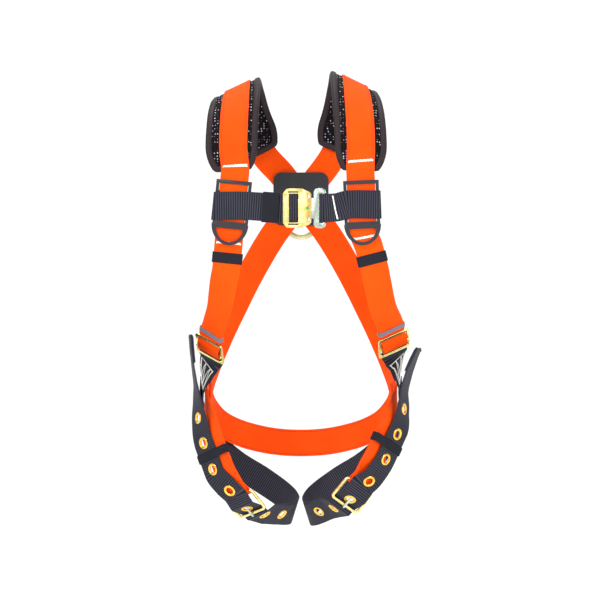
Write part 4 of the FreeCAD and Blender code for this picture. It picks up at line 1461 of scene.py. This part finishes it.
@dataclass
class HipStrap:
    """Black strap looped over the adjuster's lower bar and sewn to itself."""

    side: Side
    sewing: SewingBox
    back_start: float = 45.0     # of the turned-back layer, along the front one
    box_inset: float = 5.5
    box_near: float = -9.0
    box_far: float = -48.0

    def build(self) -> None:
        """Builds the strap, its box and W stitches."""
        place = self.side.adjuster
        start = in_frame(place, [(-24, 2.9)])[0]
        front = route(self.side.hip + [start], ROUTE_STEP)
        back = shifted(front, -LAYER)
        back = part_of(back, self.back_start, marks(back)[-1] - ROUTE_STEP)[::-1]
        bend = in_frame(place, turn(-15.6, 0, 3.1, 0, 180, 8) + [(-24, -2.9)])
        ribbed(front + bend + back).piece(self.side.named("hip_webbing"), Palette.BLACK, "harness",
                                          self.side.named("hip_strap"))
        end = marks(front)[-1]
        half, near, far = WEB_WIDTH / 2 - self.box_inset, self.box_near, self.box_far
        box = [(-half, near), (half, near), (half, far), (-half, far), (-half, near)]
        cross = [(-half, near), (-half * 0.6, far), (-half * 0.2, near), (half * 0.2, far),
                 (half * 0.6, near), (half, far)]
        for outline in (box, cross):
            self.sewing.block("harness", Palette.WHITE_THREAD, front, end, outline,
                              WEB_THICK / 2 + RIB_RISE / 2 + 0.3)


@dataclass
class ThighStrap:
    """Orange strap folded in two round the leg buckle's near bar."""

    side: Side
    sewing: SewingBox
    bar_y: float = 19.0
    loop_r: float = 3.8
    seam_inset: float = 3.4

    def build(self) -> None:
        """Builds the doubled strap and its edge seams."""
        place = self.side.buckle
        start = in_frame(place, [(38, 0)])[0]
        middle = route([start] + self.side.thigh, ROUTE_STEP)
        front = shifted(middle, LAYER / 2)
        back = shifted(middle, -LAYER / 2)[::-1]
        bend = in_frame(place, [(29, -2.4)] + turn(self.bar_y, 0, self.loop_r, 180, 360) + [(29, 2.4)])
        name = self.side.named("thigh_webbing")
        mesh = cut_slots(smooth_web(back + bend + front).mesh(name), name,
                         [(place @ Matrix.Translation((0, self.bar_y, 0)), (10.0, 16.0, 16.0))])
        new_piece(name, mesh, Palette.ORANGE, "harness", self.side.named("thigh_strap"))
        for side in (-WEB_WIDTH / 2 + self.seam_inset, WEB_WIDTH / 2 - self.seam_inset):
            self.sewing.along("harness", Palette.RED_THREAD, part_of(front, 12, marks(front)[-1]), side,
                              THREAD_OUT)


def cut_slots(mesh: bpy.types.Mesh, name: str, slots: list[tuple[Matrix, tuple[float, float, float]]],
              round_sides: int = 0) -> bpy.types.Mesh:
    """Cuts slots or round holes through a strap.

    Args:
        mesh: The strap's closed mesh.
        name: Its name.
        slots: Placement and size of each cut, in millimetres.
        round_sides: Sides of a round hole, or 0 for a box.

    Returns:
        The cut mesh, still closed.
    """
    tool = bmesh.new()
    for place, size in slots:
        scale = Matrix.Diagonal((size[0] * MM, size[1] * MM, size[2] * MM, 1))
        where = Matrix.Translation(place.translation * MM) @ place.to_3x3().to_4x4() @ scale
        if round_sides:
            bmesh.ops.create_cone(tool, cap_ends=True, segments=round_sides, radius1=0.5, radius2=0.5,
                                  depth=1.0, matrix=where)
        else:
            bmesh.ops.create_cube(tool, size=1.0, matrix=where)
    cutter = linked(name + "_cuts", to_mesh(tool, name + "_cuts"))
    rough = linked(name + "_uncut", mesh)
    cut = rough.modifiers.new("cut", "BOOLEAN")
    cut.operation = "DIFFERENCE"
    cut.solver = "MANIFOLD"
    cut.object = cutter
    result = applied(rough, name)
    bpy.data.objects.remove(cutter)
    return result


@dataclass
class LegStrap:
    """Black grommeted strap: rear hip, round the thigh, through the tongue buckle, up to the tail."""

    side: Side
    sewing: SewingBox
    eyelets: Pattern
    pitch: float = 44.0
    behind: int = 2
    ahead: int = 4
    hole_r: float = 5.5
    rim_r: float = 10.0
    strap_hole_r: float = 7.0
    lip: float = 1.9
    flap: float = 46.0           # length of the end that is turned back and sewn
    seam_inset: float = 4.0
    seam_length: float = 26.0
    seam_end: float = 50.0

    LOW = (-14.1, -1.75)
    HIGH = (2.1, 9.85)

    def run(self) -> tuple[Run, float]:
        """Returns the whole run and the distance along it of the grommet that the tongue is in."""
        place = self.side.buckle
        rear = in_frame(place, [(-30, -6)])[0]
        upper = in_frame(place, [(24, 8)])[0]
        behind = route(self.side.leg_back + self.side.leg_crotch + [rear], ROUTE_STEP)
        bend = in_frame(place, [(-22, -5.2), (-18, -4.6), self.LOW, self.HIGH, (9, 10), (19, 8.4)])
        bend[2] = replace(bend[2], straight=True)
        ahead = route([upper] + self.side.leg_front, ROUTE_STEP)
        length = marks(ahead)[-1]
        flap = part_of(shifted(ahead, -LAYER), length - self.flap, length - 3)[::-1]
        axes = axes_at(ahead, len(ahead) - 1)
        tip = Section(ahead[-1].point - axes.out * (LAYER / 2) + axes.along * 1.2, ahead[-1].across)
        low_at = marks(behind + bend)[len(behind) + 2]
        return behind + bend + ahead + [tip] + flap, low_at + math.dist(self.LOW, self.HIGH) / 2

    def spot(self, run: Run, distance: float) -> Matrix:
        """Returns the placement on the run at a distance along it, x across and y along."""
        total = marks(run)
        i = max(k for k in range(len(total) - 1) if total[k] <= distance)
        share = (distance - total[i]) / (total[i + 1] - total[i])
        along = run[i + 1].point - run[i].point
        across = run[i].across.lerp(run[i + 1].across, share)
        across = across - along * (across.dot(along) / along.dot(along))
        return pose(run[i].point.lerp(run[i + 1].point, share), across, along)

    def build(self) -> Matrix:
        """Builds the strap and its grommets.

        Returns:
            Where the keeper sits, between the second and third grommets above the buckle.
        """
        coarse, tongue_at = self.run()
        sweep = ribbed(coarse)
        smooth = sweep.sections()
        stretch = marks(smooth)[-1] / marks(coarse)[-1]
        at = [(tongue_at + k * self.pitch) * stretch for k in range(-self.behind, self.ahead + 1)]
        spots = [self.spot(smooth, d) for d in at]
        name = self.side.named("leg_webbing")
        size = (2 * self.strap_hole_r, 2 * self.strap_hole_r, 5.0)
        mesh = cut_slots(sweep.mesh(name), name, [(s, size) for s in spots], round_sides=24)
        new_piece(name, mesh, Palette.BLACK, "harness", self.side.named("leg_strap"))
        rings_name = self.side.named("eyelets")
        rings = self.eyelets.laid(rings_name, facing_points(rings_name, spots), {
            "Hole Radius": self.hole_r * MM, "Rim Radius": self.rim_r * MM, "Lip Height": self.lip * MM,
            "Material": Palette.BRASS.material()})
        new_piece(rings_name, rings, Palette.BRASS, "harness", self.side.named("grommets"))
        top = marks(smooth)[-1] - self.seam_end
        for side in (-WEB_WIDTH / 2 + self.seam_inset, WEB_WIDTH / 2 - self.seam_inset):
            self.sewing.along("harness", Palette.BLACK_THREAD, part_of(smooth, top - self.seam_length, top),
                              side, WEB_THICK / 2 + RIB_RISE)
        return self.spot(smooth, (tongue_at + 2.5 * self.pitch) * stretch)


@dataclass
class Band:
    """A flat elastic or webbing loop round a strap."""

    name: str
    node: str
    body: str
    place: Matrix
    x_range: Point
    z_range: Point
    wall: float
    length: float
    finish: Palette

    def build(self) -> None:
        """Builds the loop as one closed band with soft corners."""
        half = self.wall / 2
        x0, x1 = self.x_range[0] - half, self.x_range[1] + half
        z0, z1 = self.z_range[0] - half, self.z_range[1] + half
        soft = min(1.6, (z1 - z0) / 2.2)
        along = self.place.to_3x3() @ Vector((0, 1, 0))
        centres = [(x1 - soft, z1 - soft, 0), (x1 - soft, z0 + soft, 90), (x0 + soft, z0 + soft, 180),
                   (x0 + soft, z1 - soft, 270)]
        loop = []
        for x, z, first in centres:
            for a in (0, 30, 60, 90):
                angle = math.radians(first + a)
                local = Vector((x + soft * math.sin(angle), 0, z + soft * math.cos(angle)))
                loop.append(Section(self.place @ local, along))
        sweep = Sweep(spread(loop), strap_ring(self.length, self.wall, 6), step=0.7, closed=True)
        sweep.piece(self.name, self.finish, self.body, self.node)


def spread(loop: Run, reach: float = 4.0) -> Run:
    """Puts extra sections on a closed loop's long flats, so that a smooth curve stays flat there."""
    made = []
    for a, b in zip(loop, loop[1:] + loop[:1]):
        made.append(a)
        gap = (b.point - a.point).length
        if gap > 2 * reach:
            count = math.ceil(gap / reach)
            made += [Section(a.point.lerp(b.point, k / count), a.across) for k in range(1, count)]
    return made


# ---------------------------------------------------------------- hardware


@dataclass
class TorsoAdjuster:
    """Pressed adjuster frame with its sliding friction bar."""

    side: Side
    domes: Pattern

    def build(self) -> None:
        """Builds the frame, the bar and the heads that hold the bar in its rails."""
        s = self.side
        refined(s.named("adjuster_frame"), s.named("adjuster_plate"), Palette.GOLD, "harness", 0.9)
        across = s.adjuster.to_3x3() @ Vector((0, 1, 0))
        lip = [Section(s.adjuster @ Vector((x, -12.3, z)), across)
               for x, z in ((-26.6, 1.4), (-26.0, 3.9), (-23.6, 5.0), (-10, 5.1), (10, 5.1), (23.6, 5.0),
                            (26.0, 3.9), (26.6, 1.4))]
        Sweep(lip, oval_ring(4.8, 1.6, 0.6), step=0.8).piece(s.named("adjuster_lip"), Palette.GOLD, "harness")
        bar_body = s.named("adjuster_bar")
        refined(bar_body, s.named("friction_bar"), Palette.GOLD, bar_body, 0.6)
        spots = [s.adjuster @ Matrix.Translation((x, -4, 3.55)) for x in (-25.1, 25.1)]
        Heads(s.named("bar_heads"), spots, 1.9, 1.1, Palette.SILVER, bar_body).build(self.domes)


@dataclass
class Heads:
    """Domed heads of rivets or pins; the spots' z points outwards, sizes are in millimetres."""

    name: str
    spots: list[Matrix]
    radius: float
    height: float
    finish: Palette
    body: str

    def build(self, domes: Pattern, *nodes: str) -> None:
        """Lays the heads with the rivet pattern, in place of the CAD nodes if any are named."""
        mesh = domes.laid(self.name, facing_points(self.name, self.spots),
                          {"Head Radius": self.radius * MM, "Head Height": self.height * MM,
                           "Material": self.finish.material()})
        new_piece(self.name, mesh, self.finish, self.body, *nodes)


@dataclass
class LegBuckle:
    """Tongue buckle: a bent round-bar frame and the tongue that turns on its near bar."""

    side: Side
    bar_y: float = 19.0
    side_x: float = 26.0
    bar_r: float = 2.5
    corner_r: float = 4.5
    sleeve_r: float = 5.0
    sleeve_width: float = 7.2
    play: float = 0.06

    def build(self) -> None:
        """Builds the frame and the tongue."""
        place = self.side.buckle
        out = place.to_3x3() @ Vector((0, 0, 1))
        loop = []
        for x, y, first in ((1, 1, 0), (1, -1, 90), (-1, -1, 180), (-1, 1, 270)):
            for a in range(0, 91, 15):
                angle = math.radians(first + a)
                local = Vector((x * (self.side_x - self.corner_r) + self.corner_r * math.sin(angle),
                                y * (self.bar_y - self.corner_r) + self.corner_r * math.cos(angle), 0))
                loop.append(Section(place @ local, out))
        ring = oval_ring(2 * self.bar_r, 2 * self.bar_r, count=20)
        Sweep(spread(loop), ring, step=0.8, closed=True).piece(
            self.side.named("buckle_frame"), Palette.GOLD, "harness", self.side.named("leg_buckle"))
        self.build_tongue(place)

    def build_tongue(self, place: Matrix) -> None:
        """Builds the tongue: a sleeve rolled round the near bar, drawn out to a blunt pin.

        Args:
            place: The buckle's placement.
        """
        across = place.to_3x3() @ Vector((1, 0, 0))
        pin = [Section(place @ Vector((0, y, z)), across)
               for y, z in ((17.2, 4.1), (12, 3.9), (4, 4.0), (-8, 4.3), (-18, 4.6), (-23.6, 4.75))]

        def taper(share: float) -> Point:
            tip = math.sqrt(max(0.02, 1 - max(0.0, (share - 0.93) / 0.07) ** 2))
            return (1.35 - 0.35 * min(1.0, share * 1.5)) * tip, tip

        body = Sweep(pin, oval_ring(3.8, 3.3, 0.8, 16), step=0.7, taper=taper).mesh("pin")
        name, node = self.side.named("buckle_tongue"), self.side.named("leg_tongue")
        new_piece(name, joined(name, body, self.sleeve_mesh(place)), Palette.SILVER, node, node)

    def sleeve_mesh(self, place: Matrix) -> bpy.types.Mesh:
        """Returns the rolled sleeve: a short thick-walled tube about the near bar."""
        out = place.to_3x3() @ Vector((1, 0, 0))
        middle_r = (self.sleeve_r + self.bar_r + self.play) / 2
        wall = self.sleeve_r - self.bar_r - self.play
        loop = [Section(place @ Vector((0, self.bar_y + middle_r * math.sin(a), middle_r * math.cos(a))),
                        out) for a in [2 * math.pi * k / 24 for k in range(24)]]
        return Sweep(loop, strap_ring(self.sleeve_width, wall, 2), step=0.7, closed=True).mesh("sleeve")


@dataclass
class ChestBuckle:
    """Quick-connect chest buckle: gold body with two side latches, silver tab."""

    domes: Pattern

    def build(self) -> None:
        """Builds the body, latches and their springs, tab, rivets and indicator."""
        for node, name, finish, body, bevel in (
                ("buckle_plate", "buckle_shell", Palette.GOLD, "chest", 0.7),
                ("buckle_back", "buckle_back_plate", Palette.GOLD, "chest", 0.5),
                ("buckle_latch_top", "latch_button_top", Palette.GOLD, "latch_top", 0.6),
                ("buckle_latch_bottom", "latch_button_bottom", Palette.GOLD, "latch_bottom", 0.6),
                ("buckle_tab", "silver_tab", Palette.SILVER, "buckle_tab", 0.7),
                ("buckle_bar", "strap_bar", Palette.BRIGHT, "chest", 0.8)):
            refined(node, name, finish, body, bevel)
        for where, order in (("top", 1), ("bottom", -1)):
            node = f"buckle_spring_{where}"
            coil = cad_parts[node].data.copy()
            heights = [v.co.z for v in coil.vertices]
            near, far = (min(heights), max(heights))[::order]
            shortening = Bend("chest", f"latch_{where}", (0, 0, near), (0, 0, far))
            new_piece(f"return_spring_{where}", coil, Palette.BRIGHT, shortening, node)
        Heads("plate_rivets", [self.on_face(12.6, side * 17.6) for side in (-1, 1)], 2.3, 1.35,
              Palette.BRIGHT, "chest").build(self.domes, "buckle_rivets")
        Heads("shell_pins", [self.on_face(-24.4, side * 21.0) for side in (-1, 1)], 1.3, 0.7,
              Palette.GOLD, "chest").build(self.domes)
        Heads("indicator_dot", [self.on_face(10.2, 0.0)], 2.0, 0.9, Palette.GREEN, "chest").build(
            self.domes, "buckle_indicator")

    @staticmethod
    def on_face(x: float, above: float) -> Matrix:
        """Returns a placement on the front face, facing forwards, above the buckle's middle."""
        return pose(Vector((x, BUCKLE_FACE_Y, BUCKLE_Z + above)), Vector((1, 0, 0)), Vector((0, 0, 1)))


def upright(points: Iterable[tuple[float, float, float]]) -> Run:
    """Returns sections of a chest strap, which stands upright, from its (x, y, z) points."""
    return [Section(Vector(p), Vector((0, 0, 1))) for p in points]


def guide_wrap(place: Matrix, side: int, height: float) -> Run:
    """Chest strap round a guide's outer rail, from back to front.

    Args:
        place: The guide's placement.
        side: -1 for the right guide and 1 for the left one.
        height: Height that the strap's middle keeps.

    Returns:
        The sections.
    """
    turned = place.to_3x3()
    sideways, upwards = turned @ Vector((1, 0, 0)), turned @ Vector((0, 1, 0))
    fold_x = RAIL_OUT + 0.35 + 1 - CHEST_LAYER
    profile = [(-RAIL_IN, -CHEST_LAYER)]
    profile += [(fold_x + x, z) for x, z in turn(0, 0, CHEST_LAYER, 180, 0)]
    profile.append((-RAIL_IN + 2, CHEST_LAYER))
    wrap = []
    for x, z in profile:
        lift = (height - place.translation.z - sideways.z * side * x) / upwards.z
        wrap.append(Section(place @ Vector((side * x, lift, z)), upwards))
    return wrap


@dataclass
class ChestStraps:
    """Ribbed chest webbing, one piece each side of the buckle."""

    sewing: SewingBox
    slack: Bend = Bend("buckle_tab", "chest", (0.038, 0, 0.191), (0.104, 0, 0.191))
    tack_x: float = 52.0
    tack_half: float = 17.5
    tack_lean: float = -0.13     # along the strap for each millimetre up it
    tack_out: float = -WEB_THICK / 2 - 0.5

    def build(self) -> None:
        """Builds both pieces and the white tack on the left one."""
        ribbed(self.right()).piece("chest_webbing_r", Palette.BLACK, "chest", "chest_strap_r")
        left = self.left()
        ribbed(left).piece("chest_webbing_l", Palette.BLACK, self.slack, "chest_strap_l")
        front = evened(route(left[9:13], 2.0), 1.0)
        tacks = SewingBox(self.sewing.pattern)
        at = next(d for s, d in zip(front, marks(front)) if s.point.x > self.tack_x)
        lean = [(half, self.tack_lean * half) for half in (-self.tack_half, self.tack_half)]
        for step in (-0.5, 0.5):
            tacks.block("chest", Palette.WHITE_THREAD, front, at + step, lean, self.tack_out)
        name = "stitches_white_chest_l"
        mesh = tacks.mesh(name, Palette.WHITE_THREAD, tacks.lines["chest", Palette.WHITE_THREAD])
        new_piece(name, mesh, Palette.WHITE_THREAD, self.slack)

    def right(self) -> Run:
        """Returns the right strap's run: round its guide, across, round the buckle's bar."""
        place = RIGHT.guide_place()
        front_y = place.translation.y - CHEST_LAYER
        bar = [(-9.7 + y, -122.0 - z, BUCKLE_Z) for y, z in turn(0, 0, 3.3, 0, 180)]
        return guide_wrap(place, -1, CHEST_Z_R) + upright(
            [(-33, front_y, BUCKLE_Z + 0.3), (-27, -122.4, BUCKLE_Z), (-19.5, -122.6, BUCKLE_Z),
             (-15, -125.1, BUCKLE_Z)] + bar
            + [(-19, -118.7, BUCKLE_Z), (-33, STRAP_BACK_Y, BUCKLE_Z + 0.3), (-76, STRAP_BACK_Y, 194.2)])

    def left(self) -> Run:
        """Returns the left strap's run: round the tab's outer bar, across, round its guide."""
        place = LEFT.guide_place()
        front_y = place.translation.y - CHEST_LAYER
        bar = [(35.5 - y, -122.1 + z, BUCKLE_Z) for y, z in turn(0, 0, 3.5, 0, 180)]
        return upright([(57, front_y + LAYER, BUCKLE_Z + 1.6), (44, -118.6, BUCKLE_Z + 0.5)] + bar
                       + [(44, -123.6, BUCKLE_Z + 0.5), (57, front_y - 0.2, BUCKLE_Z + 1.6)]
                       ) + guide_wrap(place, 1, CHEST_Z_L)[::-1]


@dataclass
class DorsalPart:
    """Back plate that spaces the crossing straps, and the D-ring it carries."""

    bar_y: float = 118.5
    ring_r: float = 25.0
    rim: float = 9.0
    drop: float = 34.0
    thick: float = 8.0

    def build(self) -> None:
        """Builds the plate and the ring."""
        refined("dorsal_plate", "back_plate", Palette.NYLON, "harness", 0.9)
        middle_r = self.ring_r + self.rim / 2
        low = DORSAL_Z - self.drop
        forward = Vector((0, 1, 0))
        path = [(middle_r, DORSAL_Z - 2), (middle_r, low + 20), (middle_r, low + 8)]
        path += [(middle_r * math.cos(a), low - middle_r * math.sin(a))
                 for a in [math.radians(d) for d in range(0, 181, 12)]]
        path += [(-middle_r, low + 8), (-middle_r, low + 20), (-middle_r, DORSAL_Z - 2)]
        bow = Sweep([Section(Vector((x, self.bar_y, z)), forward) for x, z in path],
                    oval_ring(self.thick, self.rim, 0.75, 20), step=1.5).mesh("bow")
        across = [Section(Vector((x, self.bar_y, DORSAL_Z)), forward) for x in (-42.8, -20, 0, 20, 42.8)]

        def domed(share: float) -> Point:
            end = min(share, 1 - share) / 0.02
            size = math.sqrt(1 - (1 - min(1.0, end)) ** 2) * 0.35 + 0.65
            return size, size

        bar = Sweep(across, oval_ring(8.9, 8.9, count=24), step=0.8, taper=domed).mesh("bar")
        name = "forged_d_ring"
        new_piece(name, joined(name, bow, bar), Palette.FORGED, "dorsal_ring", "dorsal_ring")


@dataclass
class SeatStrap:
    """Orange strap under the seat from hip to hip."""

    sewing: SewingBox
    seam_inset: float = 3.6

    def build(self) -> None:
        """Builds the strap and its edge seams."""
        half = [
            anchor(-146.5, 4, -106, (0, 0.45, 0.90)),
            anchor(-143, 48, -136, (0.10, 0.45, 0.88)),
            anchor(-118, 91, -166, (0.10, 0.20, 0.97)),
            anchor(-62, 116, -186, (0, 0.08, 0.99)),
        ]
        other = [anchor(-s.point.x, s.point.y, s.point.z, (-s.across.x, s.across.y, s.across.z))
                 for s in reversed(half)]
        run = route(half + [anchor(0, 121, -192, (0, 0, 1))] + other, ROUTE_STEP)
        smooth_web(run, WEB_RIPPLE).piece("seat_webbing", Palette.ORANGE, "harness", "seat_strap")
        for side in (-WEB_WIDTH / 2 + self.seam_inset, WEB_WIDTH / 2 - self.seam_inset):
            for out in (-THREAD_OUT, THREAD_OUT):
                self.sewing.along("harness", Palette.RED_THREAD, run, side, out)


@dataclass
class Studio:
    """Pale floor, soft lights and the camera, in metres."""

    cad_low: float
    view_width: float = 0.943
    chest_y: float = -0.115
    distance: float = 3.7
    centre: tuple[float, float] = (-0.0016, 0.047)
    sensor: float = 36.0
    floor_drop: float = 0.16
    near_y: float = -6.0
    back_y: float = 5.4
    bend: float = 1.2
    wall_height: float = 5.0
    half_width: float = 7.0
    aim: Vector = field(default_factory=lambda: Vector((0, -0.05, 0.05)))

    def build(self) -> None:
        """Builds the floor, the backdrop, the lights, the surroundings and the camera."""
        self.build_floor()
        self.build_lights()
        camera = linked("camera", bpy.data.cameras.new("camera"))
        camera.data.sensor_width = self.sensor
        camera.data.lens = self.sensor * self.distance / self.view_width
        camera.location = (self.centre[0], self.chest_y - self.distance, self.centre[1])
        camera.rotation_euler = (math.radians(90), 0, 0)
        bpy.context.scene.camera = camera

    def build_floor(self) -> None:
        """Builds a floor that curves up into a backdrop well behind the harness."""
        floor_z, turn_y = self.cad_low - self.floor_drop, self.back_y - self.bend
        line = [(self.near_y, floor_z), (turn_y, floor_z)]
        line += [(turn_y + self.bend * math.sin(a), floor_z + self.bend - self.bend * math.cos(a))
                 for a in [math.radians(d) for d in range(10, 91, 10)]]
        line.append((self.back_y, floor_z + self.wall_height))
        points = [(x, y, z) for y, z in line for x in (-self.half_width, self.half_width)]
        faces = [(2 * i, 2 * i + 1, 2 * i + 3, 2 * i + 2) for i in range(len(line) - 1)]
        mesh = bpy.data.meshes.new("floor")
        mesh.from_pydata(points, [], faces)
        for face in mesh.polygons:
            face.use_smooth = True
        # Matt paper sweep, lit from behind a little so that it reads as white
        paper = Moulding("paper_sweep", "#F4F4F4", 0.85, grain_mm=3.0).make()
        feed(paper.node_tree, paper.node_tree.nodes["Principled BSDF"],
             {"Emission Color": WHITE, "Emission Strength": 0.17})
        mesh.materials.append(paper)
        linked("floor", mesh)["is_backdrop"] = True

    def build_lights(self) -> None:
        """Builds four soft boxes and a pale surround."""
        boxes = (("key", (-1.5, -2.3, 1.9), 1.0, 52.0), ("fill", (1.9, -2.2, 0.6), 1.2, 30.0),
                 ("top", (0.0, 0.4, 2.4), 1.4, 30.0), ("front", (-0.5, -4.6, 1.0), 1.8, 16.0))
        for name, place, size, power in boxes:
            light = bpy.data.lights.new(name, "AREA")
            light.size = size
            light.energy = power
            box = linked(name, light)
            box.location = place
            box.visible_camera = False
            aim = self.aim - Vector(place)
            box.rotation_euler = aim.to_track_quat("-Z", "Y").to_euler()
        world = bpy.data.worlds.new("surround")
        world.use_nodes = True
        feed(world.node_tree, world.node_tree.nodes["Background"], {"Color": WHITE, "Strength": 0.75})
        bpy.context.scene.world = world
        # Keeps the webbing as saturated as it is
        bpy.context.scene.view_settings.view_transform = "Standard"


# ---------------------------------------------------------------- the harness


@dataclass
class Harness:
    """The whole harness, built side by side and then across."""

    sewing: SewingBox
    eyelets: Pattern
    domes: Pattern

    def build(self) -> None:
        """Builds every sub-assembly."""
        for side in (RIGHT, LEFT):
            self.build_side(side)
        ChestStraps(self.sewing).build()
        ChestBuckle(self.domes).build()
        keeper_y = RIGHT.guide_place().translation.y - CHEST_LAYER
        slope = -0.068       # of the right chest strap, which rises to its guide
        across = pose(Vector((-48, keeper_y, 192.3)), Vector((slope, 0, -1)), Vector((1, 0, slope)))
        Band("chest_elastic", "chest_keeper", "chest_keeper", across, (-HALF_BAND, HALF_BAND),
             (-4.4, 2.1), 1.1, 26.0, Palette.ELASTIC).build()
        DorsalPart().build()
        SeatStrap(self.sewing).build()
        self.sewing.sew()

    def build_side(self, side: Side) -> None:
        """Builds everything that each side has.

        Args:
            side: Which side.
        """
        MainStrap(side, self.sewing).build()
        ShoulderPad(side, self.sewing).build()
        HipStrap(side, self.sewing).build()
        ThighStrap(side, self.sewing).build()
        keeper_spot = LegStrap(side, self.sewing, self.eyelets).build()
        TorsoAdjuster(side, self.domes).build()
        LegBuckle(side).build()
        refined(side.named("chest_guide"), side.named("strap_guide"), Palette.NYLON, "chest", 0.8)
        low, high = side.keeper_run
        on_strap = pose((low.point + high.point) / 2, low.across, high.point - low.point)
        Band(side.named("strap_elastic"), side.named("strap_keeper"), side.named("strap_keeper"), on_strap,
             (-HALF_BAND, HALF_BAND), (-1.5, 1.5), 1.2, 17.0, Palette.ELASTIC).build()
        entry = side.adjuster @ Vector((0, 22, -2.9))
        above = side.hip_front[0]
        on_tail = pose((entry + above.point) / 2, above.across, above.point - entry)
        Band(side.named("tail_elastic"), side.named("tail_band"), "harness", on_tail,
             (-HALF_BAND, HALF_BAND), (-5.0, 2.1), 1.1, 8.0, Palette.GREY).build()
        # The leg keeper also goes round the thigh strap, which shows beside the leg strap
        near, far = sorted((side.medial * (THIGH_BESIDE + HALF_BAND), -side.medial * HALF_BAND))
        Band(side.named("leg_elastic"), side.named("leg_keeper"), side.named("leg_keeper"), keeper_spot,
             (near, far), (-side.keeper_depth, 1.6), 1.2, 14.0, Palette.ELASTIC).build()


def main() -> None:
    """Builds the studio and the harness."""
    logging.basicConfig(level=logging.INFO, format="%(message)s")
    cad_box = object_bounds()
    Studio(cad_low=cad_box[0].z).build()
    Harness(SewingBox(stitch_pattern()), eyelet_pattern(), dome_pattern()).build()


if __name__ == "__main__":
    main()
